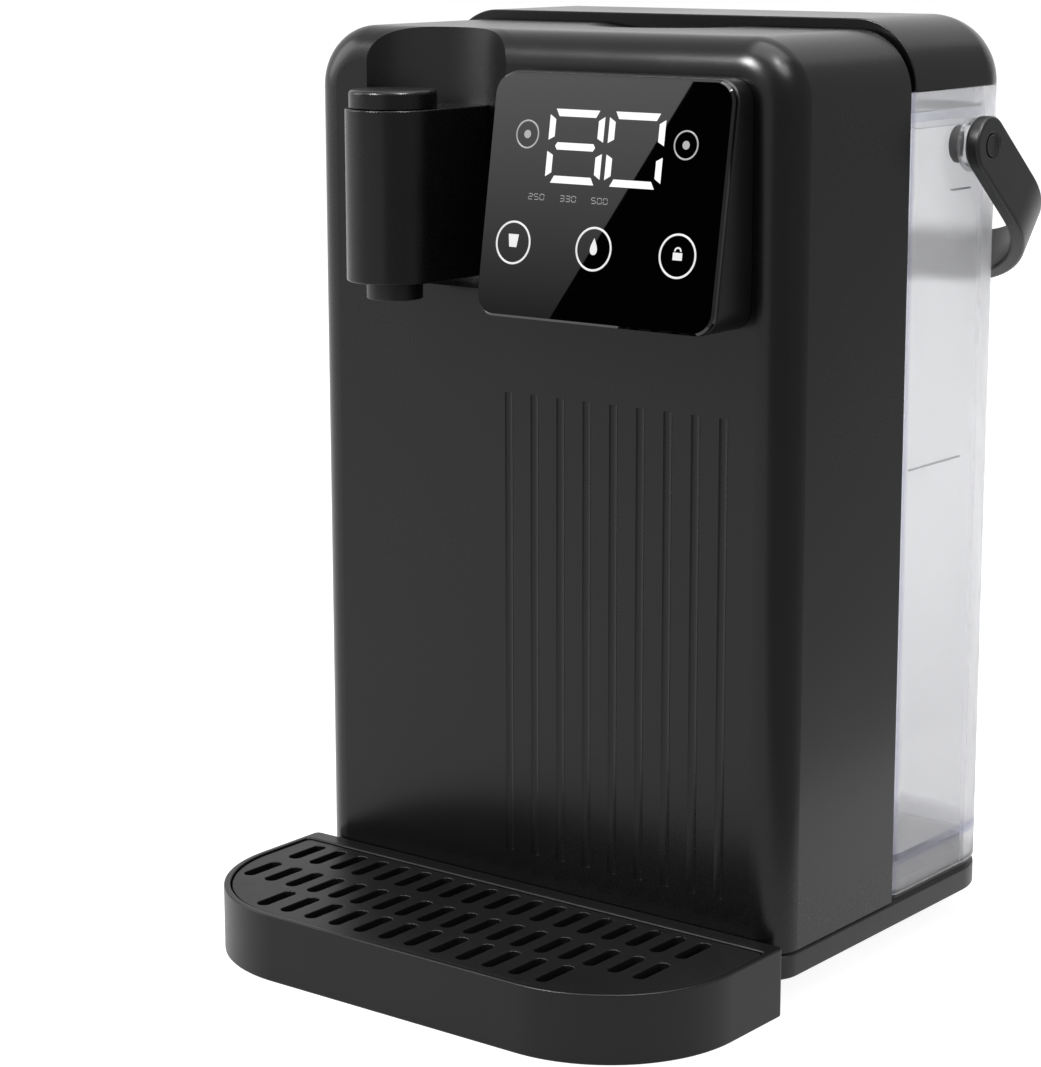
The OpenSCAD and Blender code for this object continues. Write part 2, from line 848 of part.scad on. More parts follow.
module deck_screws() {
    color("#9a9da1") placed() at_deck_posts() translate([0, 0, foot_h])
        screw(small_screw_r, small_head_r, small_head_h, base_top - foot_h - small_head_h - 0.5);
}

module wall_screws() {
    color("#9a9da1") placed() at_lugs() translate([0, body_d, 0]) rotate([90, 0, 0])
        screw(small_screw_r, small_head_r, small_head_h, lug_d - cut);
}

module pod_screws() {
    color("#9a9da1") placed() at_pod_bosses()
        translate([0, shell_wall + small_head_h, 0]) rotate([90, 0, 0])
        screw(small_screw_r - run, small_head_r, small_head_h, shell_wall + pod_boss_h - cut);
}

module board_screws() {
    color("#9a9da1") placed() at_board_corners() translate([0, board_front - small_head_h, 0])
        rotate([-90, 0, 0]) screw(small_screw_r, small_head_r, small_head_h, board_t + standoff_len - cut);
}

// Upright prism of the pod, drawn in by an inset
module pod_prism(inset) {
    translate([pod_mid, 0, 0]) along_y(-pod_cut_depth, 0)
        plan(pod_w / 2 - inset, pod_low + inset, pod_high - inset, pod_r - inset, pod_r - inset);
}

// Places its children on the sloping face: x across, y up the face, z out of it
module on_face() {
    translate([pod_mid, -pod_out_low, pod_low]) rotate([90 - pod_tilt, 0, 0]) children();
}

// Everything in front of a plane that lies behind the sloping face by the given depth
module before_face(depth) {
    on_face() translate([-pod_w, -pod_height, -depth])
        cube([2 * pod_w, 3 * pod_height, pod_cut_depth + depth]);
}

// Wedge housing of the controls, open towards the front shell
module control_pod() {
    color("#18191b") placed() difference() {
        union() {
            difference() {
                pod_prism(0);
                pod_prism(pod_wall);
                before_face(glass_t);
            }
            at_pod_bosses() rod_y(-pod_boss_h, 0, pod_boss_r);
        }
        at_pod_bosses() rod_y(-pod_boss_h - cut, cut, small_screw_r);
    }
}

// Dark glass with a bevelled edge, touch keys printed behind it
module display_glass() {
    color("#0b0b0d") placed() on_face() translate([0, pod_face / 2, -glass_t])
        bevelled_slab(glass_w, glass_h, pod_r - glass_edge, glass_t, glass_bevel);
}

// Two lit numerals, behind the glass
module digit_module() {
    color("#e8e8ea") placed() on_face()
        translate([-digit_w / 2, digit_up - digit_h / 2, -glass_t - digit_t])
            cube([digit_w, digit_h, digit_t]);
}

module display_board() {
    color("#1f5a3a") placed() on_face()
        translate([-display_w / 2, (pod_face - display_h) / 2, -glass_t - digit_t - board_t])
            cube([display_w, display_h, board_t]);
}

// Plan of the spout arm, drawn in by an inset
module spout_plan(inset, y1) {
    translate([spout_x, nose_y]) circle(spout_r - inset);
    translate([spout_x - spout_r + inset, nose_y]) square([2 * (spout_r - inset), y1 - nose_y]);
}

module spout_housing() {
    color("#1b1c1e") placed() difference() {
        slab(spout_low, spout_top) spout_plan(0, seat_y);
        slab(spout_low + spout_wall, spout_top - spout_wall) spout_plan(spout_wall, seat_y + cut);
        translate([spout_x, nose_y, 0]) {
            rod_z(spout_low - cut, spout_low + spout_wall + cut, neck_r + fit);
            rod_z(spout_top - spout_wall - cut, spout_top + cut, cap_spigot_r + fit);
        }
    }
}

// Round cap on the nose
module spout_cap() {
    color("#202124") placed() translate([spout_x, nose_y, 0]) {
        rod_z(spout_top, spout_top + cap_h - cap_edge, cap_r);
        translate([0, 0, spout_top + cap_h - cap_edge])
            cylinder(h = cap_edge, r1 = cap_r, r2 = cap_r - cap_edge);
        rod_z(spout_top - spout_wall, spout_top, cap_spigot_r);
    }
}

module nozzle() {
    color("#141415") placed() translate([spout_x, nose_y, 0]) difference() {
        union() {
            rod_z(spout_low - nozzle_h, spout_low, nozzle_r);
            rod_z(spout_low, spout_low + neck_h, neck_r);
            rod_z(spout_low + neck_h, spout_low + neck_h + barb_h, outlet_bore - run);
        }
        rod_z(spout_low - nozzle_h - cut, spout_low + neck_h + barb_h + cut, outlet_bore - spigot_wall / 2);
    }
}

// Silicone tube from the heater through the recess wall to the nozzle
module outlet_tube() {
    color("#e9e4da") placed() bent_tube([
        [spout_x, heater_y, heater_cap_top],
        [spout_x, heater_y, outlet_z],
        [spout_x, nose_y, outlet_z],
        [spout_x, nose_y, spout_low + neck_h]
    ], outlet_r, outlet_bore, bend_r);
}

// Steel tube that heats the water as it runs through
module heater_tube() {
    color("#b9bcc0") placed() difference() {
        union() {
            translate([spout_x, heater_y, 0]) rod_z(heater_low, heater_high, heater_r);
            translate([spout_x - cutout_pad, cutout_y, heater_mid - cutout_pad])
                cube([2 * cutout_pad, heater_r, 2 * cutout_pad]);
        }
        translate([spout_x, heater_y, 0])
            rod_z(heater_low - cut, heater_high + cut, heater_r - spigot_wall);
    }
}

// Lower cap with the hose spigot and upper cap with the tube spigot
module heater_caps() {
    color("#33353a") placed() translate([spout_x, heater_y, 0]) {
        difference() {
            union() {
                rod_z(heater_low - heater_cap_h, heater_low, heater_cap_r);
                rod_z(heater_low - heater_cap_h - heater_spigot, heater_low - heater_cap_h, spigot_r);
            }
            rod_z(heater_low - heater_cap_h - heater_spigot - cut, heater_low + cut,
                spigot_r - spigot_wall);
        }
        difference() {
            union() {
                rod_z(heater_high, heater_cap_top, heater_cap_r);
                rod_z(heater_cap_top, heater_cap_top + heater_spigot, outlet_bore - run);
            }
            rod_z(heater_high - cut, heater_cap_top + heater_spigot + cut, outlet_bore - spigot_wall / 2);
            translate([sensor_x, 0, 0]) rod_z(heater_high - cut, heater_cap_top + cut, sensor_r + run);
        }
    }
}

// Clamps that hold the heater to the rear wall
module heater_brackets() {
    color("#8e9196") placed() for (z = bracket_zs) translate([spout_x, 0, z]) difference() {
        union() {
            translate([0, heater_y, 0]) rod_z(0, bracket_h, heater_r + bracket_t);
            translate([-bracket_half, heater_y, 0])
                cube([2 * bracket_half, wall_front - heater_y, bracket_h]);
        }
        translate([0, heater_y, 0]) rod_z(-cut, bracket_h + cut, heater_r + run);
    }
}

// Safety cut-out on the heater's flat
module thermal_cutout() {
    color("#4a3a2a") placed() translate([spout_x, 0, heater_mid]) {
        rod_y(cutout_y - cutout_h, cutout_y, cutout_r);
        for (side = [-1, 1]) translate([side * cutout_r / 2 - 0.5, cutout_y - 2 * cutout_h, -2])
            cube([1, cutout_h, 4]);
    }
}

module temperature_sensor() {
    color("#d9d4c8") placed() translate([spout_x + sensor_x, heater_y, 0]) {
        rod_z(heater_high, heater_cap_top, sensor_r);
        rod_z(heater_cap_top, heater_cap_top + sensor_h, sensor_r + 1);
    }
}

// Places its children on the pump's axis
module on_pump() {
    translate([0, pump_y, pump_z]) children();
}

// Volute with its axial inlet and upright outlet
module pump_housing() {
    outlet_bore_r = spigot_r - spigot_wall;
    color("#e4e2dc") placed() difference() {
        union() {
            on_pump() {
                rod_x(volute_left, motor_left, volute_r);
                rod_x(inlet_end - hose_lap, volute_left, spigot_r);
            }
            translate([pump_outlet_x, pump_outlet_y, 0]) rod_z(pump_z, pump_outlet_top, spigot_r);
        }
        on_pump() {
            rod_x(volute_left + volute_wall, motor_left - volute_wall, volute_r - volute_wall);
            rod_x(inlet_end - hose_lap - cut, volute_left + volute_wall + cut, outlet_bore_r);
            rod_x(motor_left - volute_wall - cut, motor_left + cut, shaft_r + run);
        }
        translate([pump_outlet_x, pump_outlet_y, 0]) rod_z(pump_z, pump_outlet_top + cut, outlet_bore_r);
    }
}

module pump_motor() {
    color("#a7aaad") placed() on_pump() difference() {
        rod_x(motor_left, motor_left + motor_len, motor_r);
        rod_x(motor_left - cut, motor_left + motor_len - 2 * cut, shaft_r + run);
    }
}

// Rubber saddle that carries the motor on the pan
module pump_saddle() {
    color("#2b2b2c") placed() difference() {
        translate([motor_left + (motor_len - saddle_w) / 2, pump_y - saddle_half, pan_floor])
            cube([saddle_w, 2 * saddle_half, saddle_h]);
        on_pump() rod_x(motor_left - cut, motor_left + motor_len + cut, motor_r + run);
    }
}

// Bladed wheel on its shaft
module pump_impeller() {
    back_x = motor_left - volute_wall - impeller_gap;
    front_x = volute_left + volute_wall + impeller_gap;
    color("#f0efe9") placed() on_pump() {
        rod_x(back_x - impeller_t, back_x, impeller_r);
        rod_x(back_x, motor_left + motor_len - 4 * cut, shaft_r);
        rod_x(front_x + 2, back_x - impeller_t, 2 * shaft_r);
        for (i = [0 : vane_count - 1]) rotate([i * 360 / vane_count, 0, 0])
            translate([front_x, -vane_t / 2, spigot_r])
                cube([back_x - impeller_t / 2 - front_x, vane_t, impeller_r - spigot_r - 1]);
    }
}

// Hose from the tank dock to the pump's inlet
module inlet_hose() {
    color("#dcd8cf") placed() bent_tube([
        [0, wall_front - 4, port_z],
        [0, pump_y, port_z],
        [0, pump_y, pump_z],
        [inlet_end, pump_y, pump_z]
    ], hose_r, hose_bore, bend_r);
}

// Hose from the pump's outlet to the heater's lower cap
module pump_hose() {
    color("#dcd8cf") placed() bent_tube([
        [pump_outlet_x, pump_outlet_y, pump_outlet_top - hose_lap],
        [pump_outlet_x, pump_outlet_y, hose_cross_z],
        [spout_x, pump_outlet_y, hose_cross_z],
        [spout_x, heater_y, hose_cross_z],
        [spout_x, heater_y, heater_low - heater_cap_h]
    ], hose_r, hose_bore, bend_r);
}

module power_board() {
    color("#1f5a3a") placed() difference() {
        translate([board_x, board_front, board_z]) cube([board_w, board_t, board_h]);
        at_board_corners() rod_y(board_front - cut, board_front + board_t + cut, small_screw_r + fit);
    }
}

// Block on the power board, with its lower left corner at a place on the board
module board_block(x, z, size) {
    translate([board_x + x, board_front - size[1], board_z + z]) cube(size);
}

module transformer() {
    color("#c9a44c") placed() board_block(left_column_x, upper_row_z, transformer_size);
}

module relay() {
    color("#2d4f8c") placed() board_block(right_column_x, upper_row_z, relay_size);
}

// Finned heat sink of the switch for the heater
module heat_sink() {
    color("#b4b7bb") placed() {
        board_block(left_column_x, lower_row_z, [sink_w, sink_plate_d, sink_fin[2]]);
        for (i = [0 : sink_fins - 1]) board_block(left_column_x + i * sink_pitch, lower_row_z, sink_fin);
    }
}

module terminal_block() {
    color("#3d6b3d") placed() board_block(right_column_x, lower_row_z, terminal_size);
}

// Rubber gland for the supply cord, low in the left side
module cord_gland() {
    color("#2b2b2c") placed() translate([0, gland_y, gland_z]) difference() {
        union() {
            rod_x(-half_w - gland_flange_t, -half_w, gland_flange_r);
            rod_x(-half_w, -inner_half, gland_neck_r);
            rod_x(-inner_half, -inner_half + gland_inner_t, gland_flange_r);
        }
        rod_x(-half_w - gland_flange_t - cut, -inner_half + gland_inner_t + cut, gland_bore);
    }
}

// Raised socket under the tank, with the port that leads to the pump
module tank_dock() {
    color("#26272a") placed() difference() {
        union() {
            difference() {
                union() {
                    translate([-dock_half, tank_front, base_top])
                        cube([2 * dock_half, dock_back - tank_front, dock_top - base_top]);
                    translate([0, 0, port_z]) rod_y(wall_front - 4 - hose_lap, tank_front + cut, spigot_r);
                }
                translate([0, valve_y, 0]) {
                    rod_z(socket_floor, dock_top + cut, socket_r);
                    rod_z(seal_z, seal_z + seal_h, valve_r + fit + seal_t);
                }
            }
            translate([0, valve_y, 0]) rod_z(socket_floor - cut, pin_top, poppet_stem_r);
        }
        translate([0, 0, port_z]) rod_y(wall_front - 5 - hose_lap, valve_y - 2 * poppet_stem_r, port_r);
    }
}

module dock_seal() {
    color("#7a3b32") placed() translate([0, valve_y, seal_z]) linear_extrude(seal_h)
        ring(valve_r + fit + seal_t, valve_r + fit);
}

// Clear water tank with its skirt and floor
module tank_shell() {
    color("#d7d9e0", 0.5) placed() difference() {
        slab(tank_low, tank_rim) inset_tank_plan(0);
        slab(tank_floor_top, tank_rim + cut) inset_tank_plan(tank_wall);
        slab(tank_low - cut, tank_floor) inset_tank_plan(tank_wall);
        translate([0, valve_y, 0]) rod_z(tank_floor - cut, tank_floor_top + cut, valve_r + fit);
        translate([-dock_half - 2, tank_front - cut, tank_low - cut])
            cube([2 * dock_half + 4, tank_wall + 2 * cut, skirt_h + cut]);
    }
}

// Clear stepped bosses welded to the tank's sides, each with a pin for the handle
module pivot_bosses() {
    color("#d7d9e0", 0.5) placed() for (side = [0, 1]) mirror([side, 0, 0]) translate([0, pivot_y, pivot_z])
        {
            rod_x(half_w, boss_end, boss_neck_r);
            rod_x(boss_end - boss_flange_t, boss_end, boss_flange_r);
            rod_x(boss_end, boss_end + pin_len, pin_r);
        }
}

// Flanged bush in the tank floor with the valve's seat
module valve_body() {
    color("#3a3c41") placed() translate([0, valve_y, 0]) difference() {
        union() {
            rod_z(valve_low, tank_floor_top, valve_r);
            rod_z(tank_floor_top, tank_floor_top + valve_flange_h, valve_flange_r);
        }
        rod_z(valve_low - cut, tank_floor_top, seat_r);
        rod_z(valve_low + valve_seat_h, tank_floor_top + valve_flange_h + cut, valve_bore);
    }
}

// Slotted cup over the valve that keeps scale out and holds the spring
module valve_strainer() {
    low = tank_floor_top + valve_flange_h;
    color("#e6e6e2") placed() translate([0, valve_y, 0]) difference() {
        rod_z(low, strainer_top, strainer_r);
        rod_z(low - cut, strainer_top - strainer_wall, strainer_r - strainer_wall);
        rod_z(low, strainer_top + cut, poppet_stem_r + fit);
        for (i = [0 : strainer_slots - 1]) rotate([0, 0, i * 360 / strainer_slots])
            translate([strainer_r - 2 * strainer_wall, -strainer_gap / 2, low + strainer_wall])
                cube([3 * strainer_wall, strainer_gap, strainer_gap_h]);
    }
}

module valve_poppet() {
    color("#c8503c") placed() translate([0, valve_y, 0]) {
        rod_z(pin_top, poppet_low, poppet_stem_r);
        rod_z(poppet_low, poppet_low + poppet_h, poppet_r);
        rod_z(poppet_low + poppet_h, strainer_top + valve_lift, poppet_stem_r);
    }
}

// Wire spring that closes the valve, one unbroken tube of six sides
module valve_spring() {
    rings = 8 * spring_turns;
    sides = 6;
    climb = spring_high - spring_low - 2 * spring_wire_r;
    points = [for (i = [0 : rings], s = [0 : sides - 1])
        let (turn = i * 360 * spring_turns / rings,
             out = spring_r + spring_wire_r * cos(s * 360 / sides),
             up = spring_low + spring_wire_r + climb * i / rings + spring_wire_r * sin(s * 360 / sides))
        [out * cos(turn), out * sin(turn), up]];
    sides_faces = [for (i = [0 : rings - 1], s = [0 : sides - 1], half = [0, 1])
        let (a = i * sides + s, b = i * sides + (s + 1) % sides)
        half == 0 ? [a, b, b + sides] : [a, b + sides, a + sides]];
    end_faces = concat(
        [for (s = [1 : sides - 2]) [0, s + 1, s]],
        [for (s = [1 : sides - 2]) [rings * sides, rings * sides + s, rings * sides + s + 1]]);
    echo(spring_gap = climb / spring_turns - 2 * spring_wire_r);
    color("#c9cbce") placed() translate([0, valve_y, 0]) polyhedron(points, concat(sides_faces, end_faces));
}

// Outer form of the lid, drawn in by an inset, from a level upwards
module lid_form(inset, z0) {
    half = half_w - inset;
    y0 = tank_front + lid_inset + inset;
    y1 = tank_back - inset;
    top = lid_top - inset;
    r = lid_roll - inset;
    c = rear_corner - inset;
    slab(z0, top - r) plan(half, y0, y1, max(tank_front_r - inset, 1), c);
    slab(top - r, top) translate([-(half - r), y0]) square([2 * (half - r), y1 - c - y0]);
    along_y(y0, y1 - c) intersection() {
        for (side = [-1, 1]) translate([side * (half - r), top - r]) circle(r);
        translate([-half, top - r]) square([2 * half, r]);
    }
    slab(top - r, top) translate([-(half - c), y1 - c]) square([2 * (half - c), c - r]);
    along_x(-(half - c), half - c) intersection() {
        translate([y1 - r, top - r]) circle(r);
        translate([y1 - r, top - r]) square(r);
    }
    for (side = [0, 1]) mirror([side, 0, 0]) translate([half - c, y1 - c, top - r])
        rotate_extrude(angle = 90) {
            square([c - r, r]);
            intersection() {
                translate([c - r, 0]) circle(r);
                square([c, r]);
            }
        }
}

// Lift-off lid with four posts that carry its insert
module tank_lid() {
    color("#222326") placed() {
        difference() {
            lid_form(0, tank_rim);
            lid_form(lid_wall, tank_rim - cut);
        }
        for (side = [-1, 1], y = lid_post_ys) translate([side * lid_post_x, y, 0])
            rod_z(insert_top, lid_top - lid_wall / 2, lid_post_r);
    }
}

// Clear insert under the lid that drops into the tank mouth
module lid_insert() {
    color("#d7d9e0", 0.5) placed() difference() {
        slab(insert_low, insert_top) inset_tank_plan(insert_in);
        slab(insert_low - cut, insert_top - lid_wall) inset_tank_plan(insert_in + lid_wall);
    }
}

// Soft ring round the lid's insert
module lid_seal() {
    color("#b9bcc6") placed() slab(lid_seal_low, lid_seal_low + lid_seal_h) difference() {
        inset_tank_plan(tank_wall + loose);
        inset_tank_plan(insert_in);
    }
}

// Strap outline seen along its width: open at the pivots, round at the grip
module strap_plan(half, reach, r) {
    translate([-half, -strap_w]) square([2 * half, reach - r + strap_w]);
    translate([-half + r, 0]) square([2 * (half - r), reach]);
    for (side = [-1, 1]) translate([side * (half - r), reach - r]) circle(r);
}

// Bail handle with a blind bore in each arm and a dimple outside it, leaning back behind the tank
module carry_handle() {
    color("#26282a") placed() translate([0, pivot_y, pivot_z]) rotate([-handle_lean, 0, 0]) difference() {
        intersection() {
            translate([0, 0, -strap_w / 2]) linear_extrude(strap_w) difference() {
                strap_plan(arm_out, grip_out, strap_bend);
                strap_plan(arm_in, grip_reach, strap_bend - strap_t);
            }
            along_x(-arm_out - cut, arm_out + cut) {
                circle(strap_w / 2);
                translate([0, -strap_w / 2]) square([grip_out + cut, strap_w]);
            }
        }
        for (side = [0, 1]) mirror([side, 0, 0]) {
            rod_x(arm_in - cut, boss_end + pin_len + fit, pin_r + run);
            rod_x(arm_out - dimple_depth, arm_out + cut, dimple_r);
        }
    }
}

// Tub in front of the housing, held by two tongues in the base
module drip_tray() {
    tub_half = tray_half - tray_wall;
    tub_corner = tray_corner - tray_wall;
    tongue_z = pan_floor + loose;
    color("#2a2b2e") placed() {
        difference() {
            slab(0, tray_h) plan(tray_half, -tray_reach, tray_back, tray_corner, tray_rear_r);
            slab(grille_low, tray_h + cut)
                plan(tub_half, -tray_reach + tray_wall, -tray_strip, tub_corner, tray_rear_r);
            slab(tray_floor, tray_h + cut)
                plan(tub_half - tray_ledge, -tray_reach + tray_wall + tray_ledge, -tray_strip - tray_ledge,
                     tub_corner - tray_ledge, tray_rear_r);
            slab(tray_floor, grille_low - ledge_h)
                plan(tub_half, -tray_reach + tray_wall, -tray_strip, tub_corner, tray_rear_r);
        }
        for (side = [0, 1]) mirror([side, 0, 0]) translate([tongue_x, tray_back - cut, tongue_z])
            cube([tongue_w, tongue_len + cut, tongue_t]);
    }
}

// One slot with round ends, centred at a place on the grille
module grille_slot(x, y) {
    translate([x - slot_w / 2, y - (slot_len - slot_w) / 2]) square([slot_w, slot_len - slot_w]);
    for (side = [-1, 1]) translate([x, y + side * (slot_len - slot_w) / 2]) circle(slot_w / 2);
}

module tray_grille() {
    color("#303134") placed() slab(grille_low, grille_top) difference() {
        plan(grille_half, grille_front, grille_back, grille_corner, tray_rear_r);
        for (y = rear_rows, i = [0 : rear_row_count - 1]) grille_slot(rear_row_left + i * slot_pitch, y);
        for (i = [0 : front_row_count - 1]) grille_slot(front_row_left + i * front_pitch, front_row_y);
    }
}

base_plate();
rubber_feet();
tank_deck();
front_shell();
rear_wall();
housing_screws();
deck_screws();
wall_screws();
pod_screws();
board_screws();
control_pod();
display_glass();
digit_module();
display_board();
spout_housing();
spout_cap();
nozzle();
outlet_tube();
heater_tube();
heater_caps();
heater_brackets();
thermal_cutout();
temperature_sensor();
pump_housing();
pump_motor();
pump_saddle();
pump_impeller();
inlet_hose();
pump_hose();
power_board();
transformer();
relay();
heat_sink();
terminal_block();
cord_gland();
tank_dock();
dock_seal();
tank_shell();
pivot_bosses();
valve_body();
valve_strainer();
valve_poppet();
valve_spring();
tank_lid();
lid_insert();
lid_seal();
carry_handle();
drip_tray();
tray_grille();
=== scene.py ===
import math

import bmesh
import bpy
from mathutils import Matrix, Vector


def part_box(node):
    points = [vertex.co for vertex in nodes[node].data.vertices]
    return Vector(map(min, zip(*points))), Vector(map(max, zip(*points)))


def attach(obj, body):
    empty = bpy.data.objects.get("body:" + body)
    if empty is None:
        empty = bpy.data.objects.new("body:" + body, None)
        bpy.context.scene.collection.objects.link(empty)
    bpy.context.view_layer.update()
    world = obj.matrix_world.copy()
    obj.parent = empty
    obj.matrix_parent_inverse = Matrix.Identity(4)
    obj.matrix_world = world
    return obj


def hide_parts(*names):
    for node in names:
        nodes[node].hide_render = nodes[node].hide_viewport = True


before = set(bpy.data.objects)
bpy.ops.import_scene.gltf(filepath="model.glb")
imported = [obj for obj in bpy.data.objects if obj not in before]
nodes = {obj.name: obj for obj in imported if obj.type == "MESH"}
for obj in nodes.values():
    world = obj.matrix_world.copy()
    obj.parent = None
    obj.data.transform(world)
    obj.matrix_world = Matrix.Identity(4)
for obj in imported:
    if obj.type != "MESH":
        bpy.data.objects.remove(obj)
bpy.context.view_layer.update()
mm = 0.001

# Base pan: satin black injection-moulded plastic that everything is built up on.
# Its upper edge steps in, so a dark seam runs round the foot of the housing.


def moulded_skin():
    """Fine spark-eroded grain with faint clouding, shared by all moulded pieces."""
    group = bpy.data.node_groups.new("moulded_skin", "ShaderNodeTree")
    socket = group.interface.new_socket
    socket("Vector", in_out="INPUT", socket_type="NodeSocketVector")
    socket("Grain Scale", in_out="INPUT", socket_type="NodeSocketFloat")
    socket("Cloud Scale", in_out="INPUT", socket_type="NodeSocketFloat")
    for name in ("Tint", "Rough", "Height"):
        socket(name, in_out="OUTPUT", socket_type="NodeSocketFloat")
    add, link = group.nodes.new, group.links.new
    given, out = add("NodeGroupInput"), add("NodeGroupOutput")
    grain, cloud = add("ShaderNodeTexNoise"), add("ShaderNodeTexNoise")
    grain.inputs["Detail"].default_value = 2.0
    cloud.inputs["Detail"].default_value = 4.0
    cloud.inputs["Roughness"].default_value = 0.6
    for noise, scale in ((grain, "Grain Scale"), (cloud, "Cloud Scale")):
        link(given.outputs["Vector"], noise.inputs["Vector"])
        link(given.outputs[scale], noise.inputs["Scale"])
    blend = add("ShaderNodeMix")
    blend.inputs["Factor"].default_value = 0.65
    link(grain.outputs["Fac"], blend.inputs["A"])
    link(cloud.outputs["Fac"], blend.inputs["B"])
    link(cloud.outputs["Fac"], out.inputs["Tint"])
    link(blend.outputs["Result"], out.inputs["Rough"])
    link(grain.outputs["Fac"], out.inputs["Height"])
    return group


skin = moulded_skin()


def moulded(name, dark, light, rough, grain=1400.0, cloud=14.0, bump=0.05, specular=0.35, metallic=0.0):
    """Material on the moulded skin: two near colours, a span of roughness and a fine bump."""
    mat = bpy.data.materials.new(name)
    mat.use_nodes = True
    tree = mat.node_tree
    add, link = tree.nodes.new, tree.links.new
    shader = tree.nodes["Principled BSDF"]
    place = add("ShaderNodeTexCoord")
    texture = add("ShaderNodeGroup")
    texture.node_tree = skin
    texture.inputs["Grain Scale"].default_value = grain
    texture.inputs["Cloud Scale"].default_value = cloud
    link(place.outputs["Object"], texture.inputs["Vector"])
    colour = add("ShaderNodeMix")
    colour.data_type = "RGBA"
    colour.inputs["A"].default_value = (*dark, 1.0)
    colour.inputs["B"].default_value = (*light, 1.0)
    link(texture.outputs["Tint"], colour.inputs["Factor"])
    link(colour.outputs["Result"], shader.inputs["Base Color"])
    span = add("ShaderNodeMapRange")
    span.inputs["From Min"].default_value = 0.3
    span.inputs["From Max"].default_value = 0.7
    span.inputs["To Min"].default_value = rough[0]
    span.inputs["To Max"].default_value = rough[1]
    link(texture.outputs["Rough"], span.inputs["Value"])
    link(span.outputs["Result"], shader.inputs["Roughness"])
    lift = add("ShaderNodeBump")
    lift.inputs["Strength"].default_value = bump
    lift.inputs["Distance"].default_value = 0.3 * mm
    link(texture.outputs["Height"], lift.inputs["Height"])
    link(lift.outputs["Normal"], shader.inputs["Normal"])
    shader.inputs["Specular IOR Level"].default_value = specular
    shader.inputs["Metallic"].default_value = metallic
    return mat


def dress(material, *names):
    """Puts one material on whole CAD nodes."""
    for name in names:
        mesh = nodes[name].data
        mesh.materials.clear()
        mesh.materials.append(material)


def soften(name, body, material, width, sharp=35.0):
    """Stands in for a CAD node with the same form, its sharp edges rounded as a mould leaves them."""
    mesh = bpy.data.meshes.new(name + "_rounded")
    build = bmesh.new()
    build.from_mesh(nodes[name].data)
    bmesh.ops.remove_doubles(build, verts=build.verts, dist=0.001 * mm)
    bmesh.ops.dissolve_limit(build, angle_limit=math.radians(1.0), verts=build.verts, edges=build.edges)
    for face in build.faces:
        face.smooth = True
        face.material_index = 0
    build.to_mesh(mesh)
    build.free()
    mesh.materials.clear()
    mesh.materials.append(material)
    rough_cast = bpy.data.objects.new(name + "_cast", mesh)
    bpy.context.scene.collection.objects.link(rough_cast)
    edge = rough_cast.modifiers.new("edge", "BEVEL")
    edge.width, edge.segments = width, 3
    edge.limit_method, edge.angle_limit = "ANGLE", math.radians(sharp)
    edge.use_clamp_overlap = False
    even = rough_cast.modifiers.new("even", "WEIGHTED_NORMAL")
    even.mode, even.weight = "FACE_AREA", 50
    view = bpy.context.evaluated_depsgraph_get()
    rounded = bpy.data.meshes.new_from_object(rough_cast.evaluated_get(view))
    bpy.data.objects.remove(rough_cast)
    low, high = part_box(name)
    for vert in rounded.vertices:
        vert.co = [min(max(value, least), most) for value, least, most in zip(vert.co, low, high)]
    piece = bpy.data.objects.new(name + "_rounded", rounded)
    bpy.context.scene.collection.objects.link(piece)
    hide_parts(name)
    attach(piece, body)
    return piece


base_black = moulded("base_black", (0.004, 0.004, 0.0045), (0.008, 0.008, 0.0085),
                     (0.34, 0.5), specular=0.3)
soften("base_plate", "housing", base_black, 0.6 * mm)

# Rubber feet: four black discs with a soft, dusty skin, pressed into the base pan.
foot_rubber = moulded("foot_rubber", (0.012, 0.012, 0.012), (0.03, 0.03, 0.03),
                      (0.75, 0.95), 700.0, 30.0, 0.2)
soften("rubber_feet", "housing", foot_rubber, 0.8 * mm)

# Pump: pale nylon volute with a vaned impeller and a steel-cased motor, lying in
# a rubber saddle on the base pan.
saddle_rubber = moulded("saddle_rubber", (0.015, 0.015, 0.016), (0.03, 0.03, 0.032),
                        (0.7, 0.9), 600.0, 30.0, 0.2)
dress(saddle_rubber, "pump_saddle")
volute_nylon = moulded("volute_nylon", (0.62, 0.61, 0.56), (0.75, 0.74, 0.69), (0.4, 0.55))
dress(volute_nylon, "pump_housing", "pump_impeller")
motor_steel = moulded("motor_steel", (0.45, 0.46, 0.47), (0.6, 0.61, 0.62),
                      (0.22, 0.4), 600.0, 60.0, 0.1, 0.5, 1.0)
dress(motor_steel, "pump_motor")

# Hoses from the tank's dock to the pump, on to the heater and up to the nozzle: milky
# silicone tube, pushed over the spigots.
silicone = moulded("milky_silicone", (0.62, 0.6, 0.55), (0.75, 0.73, 0.68), (0.35, 0.5), 400.0, 40.0, 0.1)
dress(silicone, "inlet_hose", "pump_hose", "outlet_tube")

